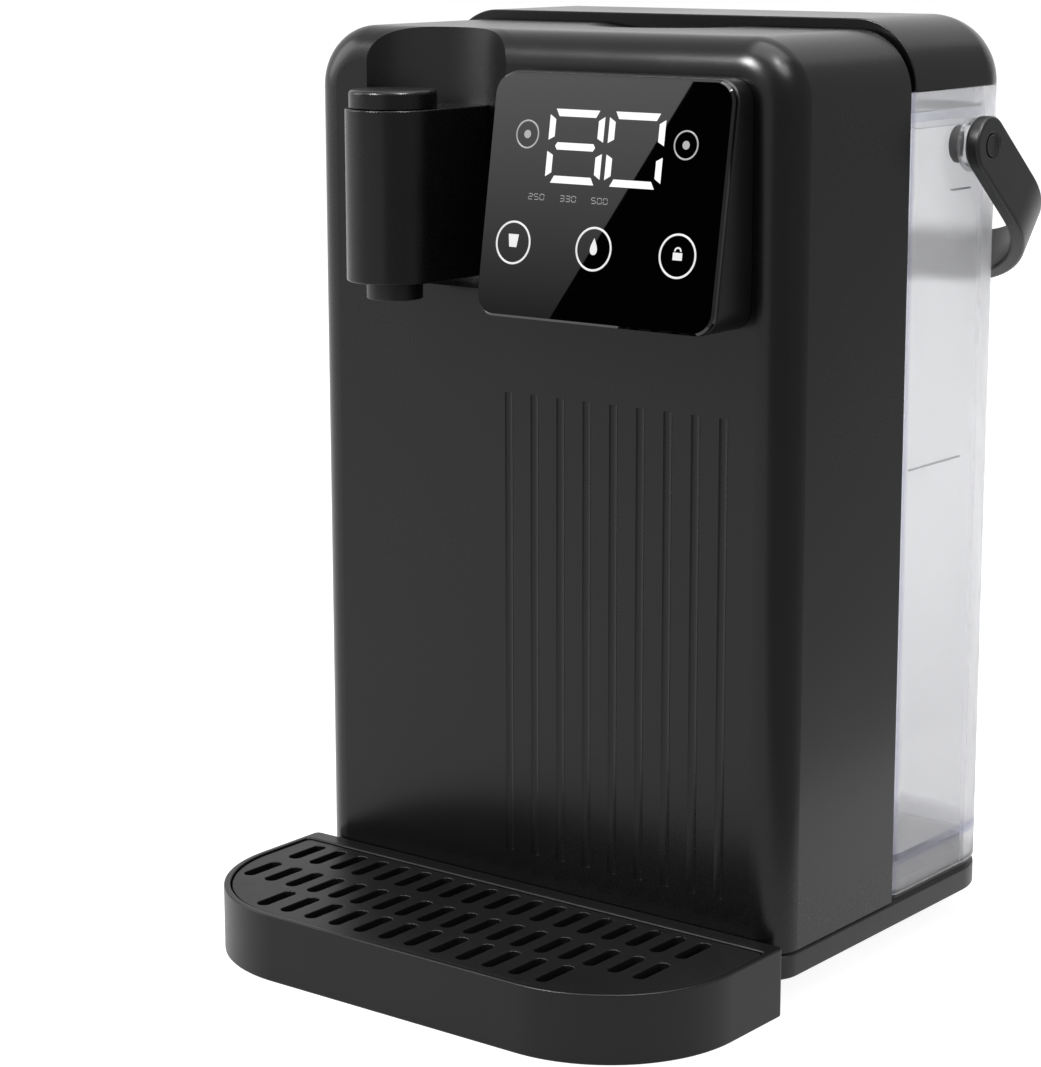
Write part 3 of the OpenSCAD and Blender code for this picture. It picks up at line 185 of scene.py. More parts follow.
# Flow heater: drawn steel tube between two dark caps, clamped to the rear wall, with
# a cut-out on its side and a sensor in its upper cap.
drawn_steel = moulded("drawn_steel", (0.47, 0.47, 0.48), (0.62, 0.62, 0.63),
                      (0.2, 0.38), 500.0, 40.0, 0.1, 0.5, 1.0)
dress(drawn_steel, "heater_tube", "heater_brackets")
cap_nylon = moulded("cap_nylon", (0.02, 0.02, 0.024), (0.04, 0.04, 0.046), (0.45, 0.6))
dress(cap_nylon, "heater_caps")
cutout_brown = moulded("cutout_brown", (0.05, 0.032, 0.02), (0.08, 0.055, 0.035),
                       (0.35, 0.5), 800.0, 60.0, 0.1)
dress(cutout_brown, "thermal_cutout")
sensor_ceramic = moulded("sensor_ceramic", (0.6, 0.58, 0.52), (0.72, 0.7, 0.64),
                         (0.5, 0.65), 900.0, 50.0, 0.1)
dress(sensor_ceramic, "temperature_sensor")

# Boards: green laminate. The power board carries a taped transformer, a relay, a finned
# heat sink and a terminal block; the display's own board is of the same laminate.
laminate = moulded("board_laminate", (0.01, 0.09, 0.04), (0.02, 0.16, 0.07), (0.3, 0.5), 500.0, 220.0, 0.15)
dress(laminate, "power_board", "display_board")
dress(moulded("winding_tape", (0.5, 0.33, 0.06), (0.62, 0.43, 0.1),
              (0.35, 0.5), 300.0, 90.0, 0.2), "transformer")
dress(moulded("relay_case", (0.03, 0.08, 0.28), (0.05, 0.12, 0.36), (0.35, 0.5)), "relay")
dress(moulded("terminal_case", (0.05, 0.2, 0.07), (0.08, 0.27, 0.1), (0.4, 0.55)), "terminal_block")
sink_metal = moulded("sink_metal", (0.6, 0.6, 0.61), (0.72, 0.72, 0.73),
                     (0.3, 0.45), 700.0, 60.0, 0.1, 0.5, 1.0)
dress(sink_metal, "heat_sink")

# Housing: front shell with its grooves and the upright recess, and the wall towards
# the tank. Satin charcoal plastic, moulded and screwed to the base pan from below.
shell_black = moulded("shell_black", (0.0022, 0.0022, 0.0026), (0.0042, 0.0042, 0.0047),
                      (0.22, 0.3), bump=0.005, specular=0.26)
dress(shell_black, "front_shell", "rear_wall")

# Cord gland: soft black rubber ring in the side of the housing near the base.
gland_rubber = moulded("gland_rubber", (0.01, 0.01, 0.01), (0.02, 0.02, 0.02),
                       (0.6, 0.8), 900.0, 40.0, 0.15)
soften("cord_gland", "housing", gland_rubber, 0.5 * mm)

# Screws: zinc-plated steel in five groups, driven from below, from inside the housing
# or, into the rear wall, from the tank's side.
plated = moulded("plated_steel", (0.38, 0.39, 0.4), (0.55, 0.56, 0.57),
                 (0.25, 0.45), 900.0, 120.0, 0.1, 0.5, 1.0)
dress(plated, "housing_screws", "deck_screws", "wall_screws", "pod_screws", "board_screws")

# Control pod: wedge-shaped semi-gloss frame that leans the touch glass back, its face
# turned up to the user; screwed to the shell from inside.
pod_black = moulded("pod_black", (0.003, 0.003, 0.0035), (0.006, 0.006, 0.0065),
                    (0.26, 0.38), 1600.0, 16.0, 0.03, 0.26)
soften("control_pod", "housing", pod_black, 0.5 * mm)

# Touch glass: black-printed glass with a ground bevel, bonded into the pod. Only its
# polished face and the bright bevel catch the light.
glass_black = moulded("glass_black", (0.0006, 0.0006, 0.0007), (0.001, 0.001, 0.0012),
                      (0.004, 0.016), 300.0, 9.0, 0.0, 0.5)
dress(glass_black, "display_glass")

# Numeral module behind the glass: white light box of the two large numerals, which
# lies in front of the display's own board.
light_box = moulded("light_box", (0.75, 0.75, 0.77), (0.85, 0.85, 0.87), (0.4, 0.55))
dress(light_box, "digit_module")

# Lit marks on the glass: two seven-bar numerals, three plain numbers, ringed keys and
# signs. White windows in the glass's black print, lit from behind.
pod_lean, pod_rise = 12.0, 75.5
pod_tilt = math.atan2(pod_lean, pod_rise)
face_right = Vector((1.0, 0.0, 0.0))
face_up = Vector((0.0, math.sin(pod_tilt), math.cos(pod_tilt)))
face_out = face_right.cross(face_up)
glass_low, glass_high = (Vector(corner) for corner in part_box("display_glass"))
glass_mid = (glass_low + glass_high) / 2
glass_level = max(point.co.dot(face_out) for point in nodes["display_glass"].data.vertices)
face_centre = glass_mid + face_out * (glass_level - glass_mid.dot(face_out))
mark_lift, mark_sink = 0.04 * mm, 0.02 * mm

numeral_bars = {"0": "abcdef", "2": "abdeg", "3": "abcdg", "5": "acdfg", "8": "abcdefg"}


def lit_white(name, warm, cool, strength):
    """White light through a printed window, with a faint clouding."""
    mat = bpy.data.materials.new(name)
    mat.use_nodes = True
    tree = mat.node_tree
    add, link = tree.nodes.new, tree.links.new
    shader = tree.nodes["Principled BSDF"]
    place, cloud, colour = add("ShaderNodeTexCoord"), add("ShaderNodeTexNoise"), add("ShaderNodeMix")
    cloud.inputs["Scale"].default_value = 220.0
    link(place.outputs["Object"], cloud.inputs["Vector"])
    colour.data_type = "RGBA"
    colour.inputs["A"].default_value = (*warm, 1.0)
    colour.inputs["B"].default_value = (*cool, 1.0)
    link(cloud.outputs["Fac"], colour.inputs["Factor"])
    link(colour.outputs["Result"], shader.inputs["Emission Color"])
    shader.inputs["Base Color"].default_value = (0.02, 0.02, 0.02, 1.0)
    shader.inputs["Roughness"].default_value = 0.4
    shader.inputs["Emission Strength"].default_value = strength
    return mat


def on_glass(across, up, out):
    """Place on the glass, in millimetres from its middle, raised by a length in metres."""
    return face_centre + face_right * (across * mm) + face_up * (up * mm) + face_out * out


def mirrored(outline, across, up):
    """Outline turned over to another side of the numeral, still running the same way round."""
    turned = [(x * across, y * up) for x, y in outline]
    return turned if across * up > 0 else turned[::-1]


def numeral(digit, centre, height):
    """Outlines of one seven-bar numeral, worked out from its height alone."""
    half_h = height / 2
    half_w, half_t = half_h * 0.91, half_h * 0.11
    cap = [(-half_w * 0.75, half_h - half_t), (half_w * 0.75, half_h - half_t),
           (half_w * 0.89, half_h + half_t), (-half_w * 0.89, half_h + half_t)]
    post = [(half_w - half_t, half_h * 0.28), (half_w + half_t, half_h * 0.17),
            (half_w + half_t, half_h * 0.93), (half_w - half_t, half_h * 0.8)]
    waist = [(-half_w * 0.74, -half_t), (half_w * 0.74, -half_t), (half_w * 0.82, 0.0),
             (half_w * 0.74, half_t), (-half_w * 0.74, half_t), (-half_w * 0.82, 0.0)]
    bars = {"a": cap, "b": post, "c": mirrored(post, 1, -1), "d": mirrored(cap, 1, -1),
            "e": mirrored(post, -1, -1), "f": mirrored(post, -1, 1), "g": waist}
    return [[(x + centre[0], y + centre[1]) for x, y in bars[bar]] for bar in numeral_bars[digit]]


def number(digits, centre, height):
    """Outlines of a row of numerals about a middle point."""
    pitch = height * 1.3
    first = centre[0] - pitch * (len(digits) - 1) / 2
    return [bar for i, digit in enumerate(digits)
            for bar in numeral(digit, (first + i * pitch, centre[1]), height)]


def arc(centre, radius, start, end, steps):
    """Points along an arc, angles in degrees."""
    angles = [math.radians(start + (end - start) * i / steps) for i in range(steps + 1)]
    return [(centre[0] + radius * math.cos(a), centre[1] + radius * math.sin(a)) for a in angles]


def drop_sign(centre, size):
    """Outline of a water drop with its point upwards."""
    turns = [2 * math.pi * i / 40 for i in range(40)]
    return [(centre[0] - size * math.sin(t) * math.sin(t / 2) ** 1.4 * 0.72, centre[1] + size * math.cos(t))
            for t in turns]


def lock_sign(centre, size):
    """Outlines of a padlock: a body and its shackle."""
    x, y = centre
    foot, shoulder = y - size * 1.1, y + size * 0.25
    body = [(x - size, foot), (x + size, foot), (x + size, shoulder), (x - size, shoulder)]
    top = (x, y + size * 0.45)
    shackle = arc(top, size * 0.8, 0, 180, 16) + arc(top, size * 0.5, 180, 0, 16)
    return [body, shackle]


def cup_sign(centre, size):
    """Outline of a tumbler, wider at its rim."""
    x, y = centre
    return [(x - size * 0.7, y - size), (x + size * 0.7, y - size),
            (x + size, y + size), (x - size, y + size)]


def lit_marks(name, outlines, material):
    """Thin windows on the glass, one for each outline."""
    build = bmesh.new()
    for outline in outlines:
        low = [build.verts.new(on_glass(x, y, -mark_sink)) for x, y in outline]
        high = [build.verts.new(on_glass(x, y, mark_lift)) for x, y in outline]
        build.faces.new(high)
        build.faces.new(low[::-1])
        for i in range(len(outline)):
            k = (i + 1) % len(outline)
            build.faces.new((low[i], low[k], high[k], high[i]))
    mesh = bpy.data.meshes.new(name)
    build.to_mesh(mesh)
    build.free()
    mesh.materials.append(material)
    piece = bpy.data.objects.new(name, mesh)
    bpy.context.scene.collection.objects.link(piece)
    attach(piece, "housing")


bright_white = lit_white("bright_white", (0.95, 0.95, 0.96), (1.0, 1.0, 1.0), 1.0)
dim_white = lit_white("dim_white", (0.3, 0.3, 0.31), (0.42, 0.42, 0.43), 1.0)
sign_white = lit_white("sign_white", (0.7, 0.7, 0.71), (0.85, 0.85, 0.86), 1.0)
numeral_height, numeral_up, numeral_columns = 20.4, 15.9, (-11.75, 10.8)
lit_marks("lit_numerals", numeral("8", (numeral_columns[0], numeral_up), numeral_height)
          + numeral("0", (numeral_columns[1], numeral_up), numeral_height), bright_white)
small_height, small_up, small_columns = 1.7, 0.0, (-24.8, -12.6, -0.6)
lit_marks("small_numbers", [bar for digits, across in zip(("250", "330", "500"), small_columns)
                            for bar in number(digits, (across, small_up), small_height)], dim_white)
key_up, key_columns, key_radius = -14.6, (-32.1, -1.1, 30.0), 6.45
lamp_spots, lamp_radius = ((-30.4, 19.0), (29.2, 18.3)), 4.2
lit_marks("key_signs", [cup_sign((key_columns[0], key_up + 0.6), 2.0),
                        drop_sign((key_columns[1], key_up + 0.8), 2.6)]
          + lock_sign((key_columns[2], key_up + 0.6), 1.7), sign_white)
lit_marks("lamp_dots", [arc(spot, 1.3, 0, 345, 23) for spot in lamp_spots], dim_white)


def maker_tree(name, lengths):
    """Empty geometry node tree that takes points, some lengths and a material."""
    tree = bpy.data.node_groups.new(name, "GeometryNodeTree")
    socket = tree.interface.new_socket
    socket("Geometry", in_out="INPUT", socket_type="NodeSocketGeometry")
    for length in lengths:
        socket(length, in_out="INPUT", socket_type="NodeSocketFloat")
    socket("Material", in_out="INPUT", socket_type="NodeSocketMaterial")
    socket("Geometry", in_out="OUTPUT", socket_type="NodeSocketGeometry")
    return tree, tree.nodes.new("NodeGroupInput")


def point_size(tree):
    """The size that every point carries."""
    size = tree.nodes.new("GeometryNodeInputNamedAttribute")
    size.inputs["Name"].default_value = "size"
    return size.outputs["Attribute"]


def set_on_points(tree, given, shape, scale, turn=None):
    """Sets a shape on every point, scaled and turned, and paints it."""
    add, link = tree.nodes.new, tree.links.new
    spread, real = add("GeometryNodeInstanceOnPoints"), add("GeometryNodeRealizeInstances")
    paint, out = add("GeometryNodeSetMaterial"), add("NodeGroupOutput")
    link(given.outputs["Geometry"], spread.inputs["Points"])
    link(shape, spread.inputs["Instance"])
    link(scale, spread.inputs["Scale"])
    if turn:
        link(turn, spread.inputs["Rotation"])
    link(spread.outputs["Instances"], real.inputs["Geometry"])
    link(real.outputs["Geometry"], paint.inputs["Geometry"])
    link(given.outputs["Material"], paint.inputs["Material"])
    link(paint.outputs["Geometry"], out.inputs["Geometry"])


def ring_tree():
    """Geometry nodes: one flat ring on every point, as large as the point's size says."""
    tree, given = maker_tree("lit_rings", ("Line Width", "Line Height", "Lean"))
    add, link = tree.nodes.new, tree.links.new
    circle, sweep = add("GeometryNodeCurvePrimitiveCircle"), add("GeometryNodeCurveToMesh")
    profile, lean = add("GeometryNodeCurvePrimitiveQuadrilateral"), add("ShaderNodeCombineXYZ")
    circle.inputs["Resolution"].default_value = 96
    circle.inputs["Radius"].default_value = 1.0
    link(given.outputs["Line Width"], profile.inputs["Width"])
    link(given.outputs["Line Height"], profile.inputs["Height"])
    link(circle.outputs["Curve"], sweep.inputs["Curve"])
    link(profile.outputs["Curve"], sweep.inputs["Profile Curve"])
    link(given.outputs["Lean"], lean.inputs["X"])
    set_on_points(tree, given, sweep.outputs["Mesh"], point_size(tree), lean.outputs["Vector"])
    return tree


def grown(name, points, sizes, tree, settings, body):
    """Piece made by a geometry node tree from a list of points and their sizes."""
    seed = bpy.data.meshes.new(name + "_points")
    seed.from_pydata([tuple(point) for point in points], [], [])
    seed.attributes.new("size", "FLOAT", "POINT").data.foreach_set("value", sizes)
    source = bpy.data.objects.new(name + "_source", seed)
    bpy.context.scene.collection.objects.link(source)
    maker = source.modifiers.new("maker", "NODES")
    maker.node_group = tree
    for item in tree.interface.items_tree:
        if item.in_out == "INPUT" and item.name in settings:
            maker[item.identifier] = settings[item.name]
    view = bpy.context.evaluated_depsgraph_get()
    mesh = bpy.data.meshes.new_from_object(source.evaluated_get(view))
    source.modifiers.remove(maker)
    bpy.data.objects.remove(source)
    piece = bpy.data.objects.new(name, mesh)
    bpy.context.scene.collection.objects.link(piece)
    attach(piece, body)
    return piece


rings = ring_tree()
ring_lean = math.pi / 2 - pod_tilt
grown("key_rings", [on_glass(across, key_up, 0.0) for across in key_columns],
      [key_radius * mm] * len(key_columns), rings,
      {"Line Width": 0.1, "Line Height": 0.014, "Lean": ring_lean, "Material": sign_white},
      "housing")
grown("lamp_rings", [on_glass(*spot, 0.0) for spot in lamp_spots],
      [lamp_radius * mm] * len(lamp_spots), rings,
      {"Line Width": 0.12, "Line Height": 0.02, "Lean": ring_lean, "Material": dim_white},
      "housing")

# Spout arm: long satin-black block that comes out of the recess, rounded to a nose,
# with a round cap pressed on top and a short nozzle below.
spout_black = moulded("spout_black", (0.0025, 0.0025, 0.003), (0.005, 0.005, 0.0055),
                      (0.22, 0.32), bump=0.015, specular=0.22)
soften("spout_housing", "housing", spout_black, 0.5 * mm)
soften("spout_cap", "housing", spout_black, 0.5 * mm)
nozzle_black = moulded("nozzle_black", (0.002, 0.002, 0.0022), (0.0045, 0.0045, 0.005),
                       (0.35, 0.5), specular=0.25)
soften("nozzle", "housing", nozzle_black, 0.4 * mm)

# Tank deck and dock: satin black shelf behind the housing, the raised socket whose pin
# opens the tank's valve, and the socket's red silicone ring.
deck_black = moulded("deck_black", (0.004, 0.004, 0.0045), (0.008, 0.008, 0.0085),
                     (0.4, 0.55), specular=0.3)
dress(deck_black, "tank_deck", "tank_dock")
seal_red = moulded("seal_red", (0.3, 0.06, 0.04), (0.42, 0.1, 0.07), (0.5, 0.65), 600.0, 40.0, 0.1)
dress(seal_red, "dock_seal")

# Tank valve: dark bush in the tank's floor, red poppet under a steel wire spring and a
# slotted strainer over them.
bush_nylon = moulded("bush_nylon", (0.02, 0.02, 0.024), (0.04, 0.04, 0.046), (0.45, 0.6))
dress(bush_nylon, "valve_body")
strainer_nylon = moulded("strainer_nylon", (0.62, 0.61, 0.58), (0.75, 0.74, 0.71),
                         (0.35, 0.5), 900.0, 60.0, 0.1)
dress(strainer_nylon, "valve_strainer")
poppet_red = moulded("poppet_red", (0.28, 0.055, 0.04), (0.4, 0.09, 0.065), (0.5, 0.65), 700.0, 60.0, 0.1)
dress(poppet_red, "valve_poppet")
spring_wire = moulded("spring_wire", (0.5, 0.5, 0.51), (0.66, 0.66, 0.67),
                      (0.2, 0.32), 900.0, 200.0, 0.05, 0.5, 1.0)
dress(spring_wire, "valve_spring")

# Water tank with its pivot bosses: clear plastic with a faint clouding, lilac along its
# thick edges and with painted shade greying it towards its floor; two level lines stand on its right side.
tank_low, tank_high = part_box("tank_shell")
skirt_height, floor_thickness = 10.5 * mm, 2.5 * mm
floor_low = tank_low[2] + skirt_height
floor_high = floor_low + floor_thickness
frost_start, frost_end, frost_most = 35.0 * mm, 5.0 * mm, 0.6
shade_height, shade_most = 140.0 * mm, 0.5


def fade(tree, value, start, end, first, last):
    """Level that goes from one value to another over a stretch of one coordinate."""
    span = tree.nodes.new("ShaderNodeMapRange")
    span.interpolation_type = "SMOOTHSTEP"
    span.inputs["From Min"].default_value = start
    span.inputs["From Max"].default_value = end
    span.inputs["To Min"].default_value = first
    span.inputs["To Max"].default_value = last
    tree.links.new(value, span.inputs["Value"])
    return span.outputs["Result"]


def joined(tree, operation, first, second):
    """Two levels put together by one operation."""
    both = tree.nodes.new("ShaderNodeMath")
    both.operation = operation
    tree.links.new(first, both.inputs[0])
    tree.links.new(second, both.inputs[1])
    return both.outputs["Value"]


def tinted(material, factor, colour):
    """Mixes a tint into a material's colour as far as a level says."""
    tree = material.node_tree
    base = tree.nodes["Principled BSDF"].inputs["Base Color"]
    tint = tree.nodes.new("ShaderNodeMix")
    tint.data_type = "RGBA"
    tint.inputs["B"].default_value = colour
    tree.links.new(factor, tint.inputs["Factor"])
    tree.links.new(base.links[0].from_socket, tint.inputs["A"])
    tree.links.new(tint.outputs["Result"], base)


clear = moulded("clear_plastic", (0.87, 0.872, 0.885), (0.915, 0.917, 0.93),
                (0.08, 0.11), 250.0, 25.0, 0.0, 0.5)
clear_tree = clear.node_tree
clear_shader = clear_tree.nodes["Principled BSDF"]
clear_shader.inputs["Transmission Weight"].default_value = 0.8
clear_shader.inputs["IOR"].default_value = 1.18
tank_place = clear_tree.nodes.new("ShaderNodeTexCoord")
tank_split = clear_tree.nodes.new("ShaderNodeSeparateXYZ")
clear_tree.links.new(tank_place.outputs["Object"], tank_split.inputs["Vector"])
depth, level = tank_split.outputs["Y"], tank_split.outputs["Z"]
plain_rough = clear_shader.inputs["Roughness"].links[0].from_socket
rear_frost = fade(clear_tree, depth, tank_high[1] - frost_start, tank_high[1] - frost_end, 0.0, frost_most)
clear_tree.links.new(joined(clear_tree, "ADD", plain_rough, rear_frost), clear_shader.inputs["Roughness"])
facing = clear_tree.nodes.new("ShaderNodeSeparateXYZ")
clear_tree.links.new(tank_place.outputs["Normal"], facing.inputs["Vector"])
sideways = joined(clear_tree, "MULTIPLY", facing.outputs["X"], facing.outputs["X"])
upright = fade(clear_tree, sideways, 0.3, 0.7, 0.0, 1.0)
front_edge = fade(clear_tree, depth, tank_low[1] + 1.8 * mm, tank_low[1] + 3.2 * mm, 1.0, 0.0)
above_foot = fade(clear_tree, level, floor_low - 0.8 * mm, floor_low, 0.0, 1.0)
below_water = fade(clear_tree, level, floor_high, floor_high + 1.2 * mm, 1.0, 0.0)
floor_edge = joined(clear_tree, "MINIMUM", above_foot, below_water)
thick_edge = joined(clear_tree, "MAXIMUM", front_edge, floor_edge)
# Painted shade: the clear plastic's colour is greyed from the floor upwards, fading out over shade_height.
low_shade = fade(clear_tree, level, floor_high, floor_high + shade_height, shade_most, 0.0)
tinted(clear, low_shade, (0.7, 0.7, 0.715, 1.0))
tinted(clear, joined(clear_tree, "MULTIPLY", thick_edge, upright), (0.6, 0.6, 0.74, 1.0))
dress(clear, "tank_shell")
boss_clear = moulded("boss_clear", (0.9, 0.905, 0.92), (0.95, 0.955, 0.965),
                     (0.06, 0.14), 250.0, 25.0, 0.0, 0.5)
boss_shader = boss_clear.node_tree.nodes["Principled BSDF"]
boss_shader.inputs["Transmission Weight"].default_value = 0.85
boss_shader.inputs["IOR"].default_value = 1.15
dress(boss_clear, "pivot_bosses")


def line_tree():
    """Geometry nodes: one raised moulded line on every point, along Y, as long as its size says."""
    tree, given = maker_tree("level_lines", ("Line Radius",))
    add, link = tree.nodes.new, tree.links.new
    path, profile = add("GeometryNodeCurvePrimitiveLine"), add("GeometryNodeCurvePrimitiveCircle")
    sweep, stretch = add("GeometryNodeCurveToMesh"), add("ShaderNodeCombineXYZ")
    path.inputs["Start"].default_value = (0.0, -0.5, 0.0)
    path.inputs["End"].default_value = (0.0, 0.5, 0.0)
    profile.inputs["Resolution"].default_value = 12
    link(given.outputs["Line Radius"], profile.inputs["Radius"])
    link(path.outputs["Curve"], sweep.inputs["Curve"])
    link(profile.outputs["Curve"], sweep.inputs["Profile Curve"])
    sweep.inputs["Fill Caps"].default_value = True
    stretch.inputs["X"].default_value = 1.0
    stretch.inputs["Z"].default_value = 1.0
    link(point_size(tree), stretch.inputs["Y"])
    set_on_points(tree, given, sweep.outputs["Mesh"], stretch.outputs["Vector"])
    return tree


tank_front, tank_side = tank_low[1], tank_high[0]
line_grey = moulded("line_grey", (0.5, 0.5, 0.53), (0.6, 0.6, 0.63), (0.3, 0.45), 900.0, 60.0, 0.05)
upper_line, lower_line = (31.5 * mm, 12.0 * mm, 250.0 * mm), (19.5 * mm, 32.0 * mm, 162.0 * mm)
lines = (upper_line, lower_line)
grown("level_lines", [(tank_side, tank_front + middle, height) for middle, length, height in lines],
      [length for middle, length, height in lines], line_tree(),
      {"Line Radius": 0.4 * mm, "Material": line_grey}, "tank")

# Tank lid: satin charcoal cap over the whole tank, lifted off to fill it. Under it a
# clear insert with a pale silicone ring drops into the tank's mouth.
lid_black = moulded("lid_black", (0.0022, 0.0022, 0.0026), (0.0042, 0.0042, 0.0047),
                    (0.2, 0.28), bump=0.015, specular=0.24)
soften("tank_lid", "lid", lid_black, 0.4 * mm)
dress(boss_clear, "lid_insert")
seal_grey = moulded("seal_grey", (0.52, 0.54, 0.6), (0.62, 0.64, 0.7), (0.5, 0.65), 600.0, 40.0, 0.1)
dress(seal_grey, "lid_seal")

# Carry handle: matte black bail, one bent strap with round ends that snap over the
# bosses' pins; it rests leaning back behind the tank.
handle_black = moulded("handle_black", (0.006, 0.0065, 0.007), (0.011, 0.0115, 0.012),
                       (0.32, 0.44), 1100.0, 18.0, 0.03, 0.35)
soften("carry_handle", "handle", handle_black, 1.1 * mm)

# Drip tray: deep satin charcoal tub whose two tongues slide into the base, with a loose
# slotted grille that lies in its rim.
tray_black = moulded("tray_black", (0.003, 0.003, 0.0035), (0.006, 0.006, 0.0065),
                     (0.3, 0.42), bump=0.03, specular=0.22)
soften("drip_tray", "tray", tray_black, 0.6 * mm)
grille_black = moulded("grille_black", (0.0028, 0.0028, 0.0032), (0.0055, 0.0055, 0.006),
                       (0.36, 0.5), bump=0.03, specular=0.2)
soften("tray_grille", "grille", grille_black, 0.35 * mm)

# Studio: the photograph's camera, a pale floor, white surroundings, soft boxes and cards
# that only reflections show: the slant on the touch glass, the sheen of the side and the
# two spots on the housing's upper corner.
camera = bpy.data.objects.new("camera", bpy.data.cameras.new("camera"))
bpy.context.scene.collection.objects.link(camera)
camera.data.sensor_width = 36.0
camera.data.lens = 99.54
camera_place = Vector((0.56819, -0.77734, 0.33881))
right = Vector((0.78858, 0.61493, -0.00234))
up = Vector((-0.12584, 0.16509, 0.97823))
back = Vector((0.60192, -0.77112, 0.20757))
camera.matrix_world = Matrix.Translation(camera_place) @ Matrix((right, up, back)).transposed().to_4x4()
bpy.context.scene.camera = camera
bpy.context.scene.view_settings.view_transform = "Standard"


def when_seen(tree, hidden, seen):
    """Level that rises where the camera, a reflection or a clear piece looks straight at it."""
    add, link = tree.nodes.new, tree.links.new
    paths, level = add("ShaderNodeLightPath"), add("ShaderNodeMapRange")
    first, both = add("ShaderNodeMath"), add("ShaderNodeMath")
    first.operation = both.operation = "MAXIMUM"
    link(paths.outputs["Is Camera Ray"], first.inputs[0])
    link(paths.outputs["Is Glossy Ray"], first.inputs[1])
    link(first.outputs["Value"], both.inputs[0])
    link(paths.outputs["Is Transmission Ray"], both.inputs[1])
    link(both.outputs["Value"], level.inputs["Value"])
    level.inputs["To Min"].default_value = hidden
    level.inputs["To Max"].default_value = seen
    return level.outputs["Result"]


def stage_sheet(name, corners, material):
    """Flat four-sided sheet that belongs to the studio."""
    mesh = bpy.data.meshes.new(name)
    mesh.from_pydata([tuple(corner) for corner in corners], [], [tuple(range(len(corners)))])
    mesh.materials.append(material)
    sheet = bpy.data.objects.new(name, mesh)
    bpy.context.scene.collection.objects.link(sheet)
    return sheet


floor_white = bpy.data.materials.new("floor_white")
floor_white.use_nodes = True
floor_shader = floor_white.node_tree.nodes["Principled BSDF"]
floor_shader.inputs["Base Color"].default_value = (0.5, 0.5, 0.5, 1.0)
floor_shader.inputs["Roughness"].default_value = 0.9
floor_shader.inputs["Specular IOR Level"].default_value = 0.0
floor_shader.inputs["Emission Color"].default_value = (1.0, 1.0, 1.0, 1.0)
floor_lift = when_seen(floor_white.node_tree, 0.0, 0.88)
floor_white.node_tree.links.new(floor_lift, floor_shader.inputs["Emission Strength"])
reach = 6.0
floor_corners = [(-reach, -reach, 0.0), (reach, -reach, 0.0), (reach, reach, 0.0), (-reach, reach, 0.0)]
stage_sheet("floor", floor_corners, floor_white)

world = bpy.data.worlds.new("studio")
bpy.context.scene.world = world
world.use_nodes = True
surround = world.node_tree.nodes["Background"]
surround.inputs["Color"].default_value = (1.0, 1.0, 1.0, 1.0)
world.node_tree.links.new(when_seen(world.node_tree, 0.45, 1.0), surround.inputs["Strength"])


def soft_box(name, place, aim, width, height, watts):
    """Rectangular studio light that points at a place on the object."""
    lamp = bpy.data.lights.new(name, "AREA")
    lamp.shape = "RECTANGLE"
    lamp.size, lamp.size_y, lamp.energy = width, height, watts
    lit = bpy.data.objects.new(name, lamp)
    bpy.context.scene.collection.objects.link(lit)
    lit.location = place
    lit.rotation_euler = (Vector(place) - Vector(aim)).to_track_quat("Z", "Y").to_euler()
    lit.visible_camera = False


soft_box("overhead_box", (0.1, 0.0, 1.5), (0.0, 0.0, 0.2), 1.2, 1.0, 14.0)
soft_box("left_box", (-1.4, -0.62, 0.8), (0.0, 0.0, 0.15), 0.8, 1.0, 10.0)
soft_box("right_box", (1.5, 0.1, 0.6), (0.0, 0.0, 0.15), 0.5, 1.2, 4.0)

mirror_eye = camera_place - face_out * (2 * (camera_place - face_centre).dot(face_out))
card_reach, card_edge, card_slope = 2.0, 7.0, 0.605
card_half_w, card_half_h = 60.0, 48.0


def seen_in_glass(across, up_face):
    """Place on the card whose reflection falls on a place of the glass."""
    return mirror_eye + (on_glass(across, up_face, 0.0) - mirror_eye) * card_reach


def plain_card(name, level):
    """Black card that gives its own even light."""
    mat = bpy.data.materials.new(name)
    mat.use_nodes = True
    shader = mat.node_tree.nodes["Principled BSDF"]
    shader.inputs["Base Color"].default_value = (0.0, 0.0, 0.0, 1.0)
    shader.inputs["Specular IOR Level"].default_value = 0.0
    shader.inputs["Emission Color"].default_value = (1.0, 1.0, 1.0, 1.0)
    shader.inputs["Emission Strength"].default_value = level
    return mat


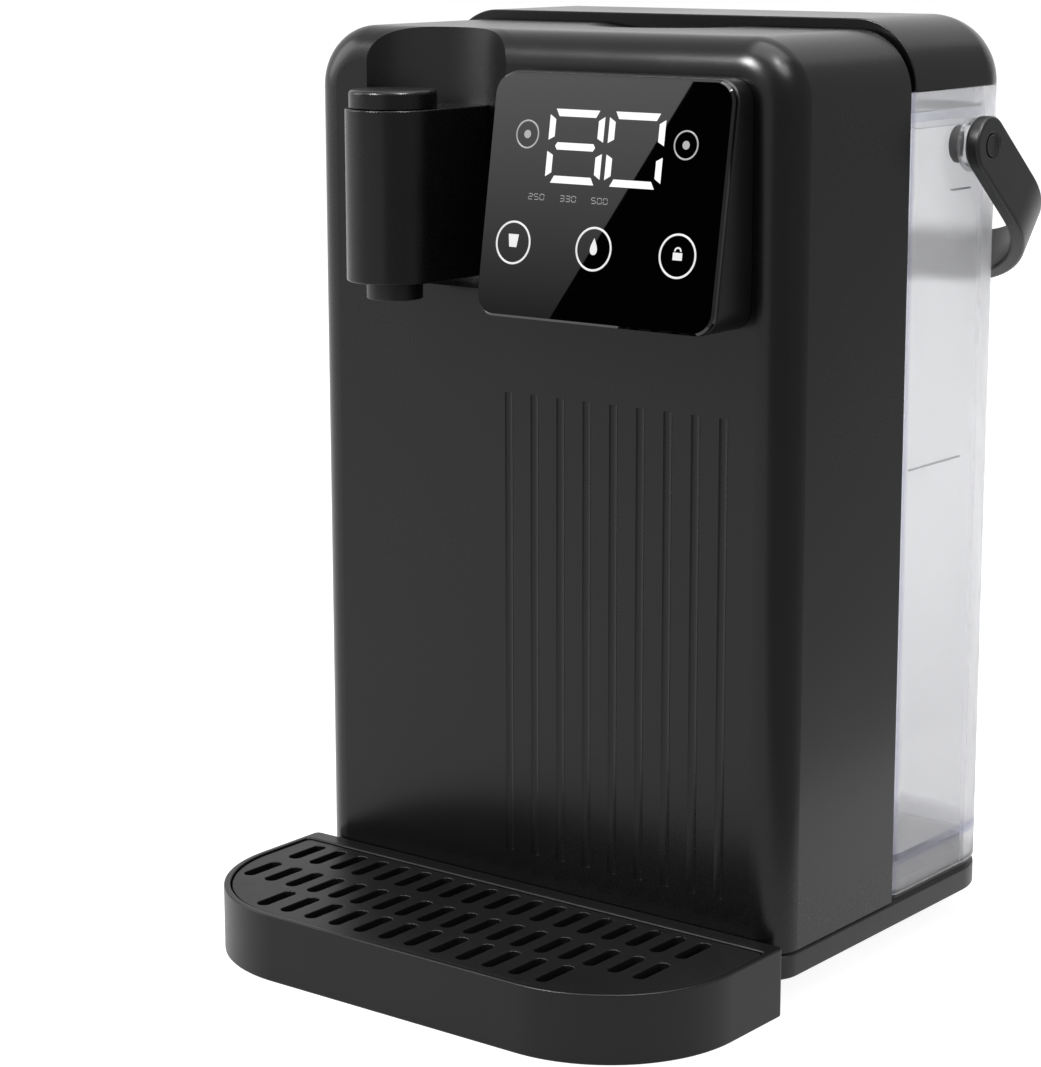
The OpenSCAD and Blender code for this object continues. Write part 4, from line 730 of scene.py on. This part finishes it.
def fading_card(name, low, high, low_level, top_level):
    """Black card whose own light changes from its foot to its top."""
    mat = plain_card(name, low_level)
    tree = mat.node_tree
    add, link = tree.nodes.new, tree.links.new
    place, split, level = add("ShaderNodeTexCoord"), add("ShaderNodeSeparateXYZ"), add("ShaderNodeMapRange")
    link(place.outputs["Object"], split.inputs["Vector"])
    link(split.outputs["Z"], level.inputs["Value"])
    level.inputs["From Min"].default_value = low
    level.inputs["From Max"].default_value = high
    level.inputs["To Min"].default_value = low_level
    level.inputs["To Max"].default_value = top_level
    link(level.outputs["Result"], tree.nodes["Principled BSDF"].inputs["Emission Strength"])
    return mat


card_top, card_foot = card_edge + card_slope * card_half_h, card_edge - card_slope * card_half_h
light_corners = [seen_in_glass(-card_half_w, card_half_h), seen_in_glass(card_top, card_half_h),
                 seen_in_glass(card_foot, -card_half_h), seen_in_glass(-card_half_w, -card_half_h)]
dark_corners = [seen_in_glass(card_top, card_half_h), seen_in_glass(card_half_w, card_half_h),
                seen_in_glass(card_half_w, -card_half_h), seen_in_glass(card_foot, -card_half_h)]
card_span = light_corners[3].z, light_corners[0].z
light_card = stage_sheet("light_card", light_corners, fading_card("card_light", *card_span, 0.1, 2.3))
dark_card = stage_sheet("dark_card", dark_corners, plain_card("card_dark", 0.0))
side_x, side_y, side_z, side_fade = 0.22, 0.9, 0.6, 0.2
side_corners = [(side_x, -side_y, 0.0), (side_x, side_y, 0.0),
                (side_x, side_y, side_z), (side_x, -side_y, side_z)]
side_card = stage_sheet("side_card", side_corners, fading_card("card_side", 0.0, side_fade, 0.68, 0.48))
spot_distance, spot_half, spot_level = 1.5, 0.2, 80.0


def lamp_card(name, corner, towards):
    """Small bright card whose reflection is one of the spots on the housing's upper corner."""
    facing = Vector(towards).normalized()
    across = facing.orthogonal().normalized() * spot_half
    along = facing.cross(across)
    middle = Vector(corner) + facing * spot_distance
    return stage_sheet(name, [middle - across - along, middle + across - along, middle + across + along,
                              middle - across + along], plain_card("card_" + name, spot_level))


front_spot = lamp_card("front_spot", (0.079, -0.04, 0.294), (-0.329, -0.713, 0.619))
top_spot = lamp_card("top_spot", (0.088, -0.036, 0.292), (0.477, -0.184, 0.859))
for card in (light_card, dark_card, side_card, front_spot, top_spot):
    card.visible_camera = card.visible_diffuse = card.visible_transmission = card.visible_shadow = False
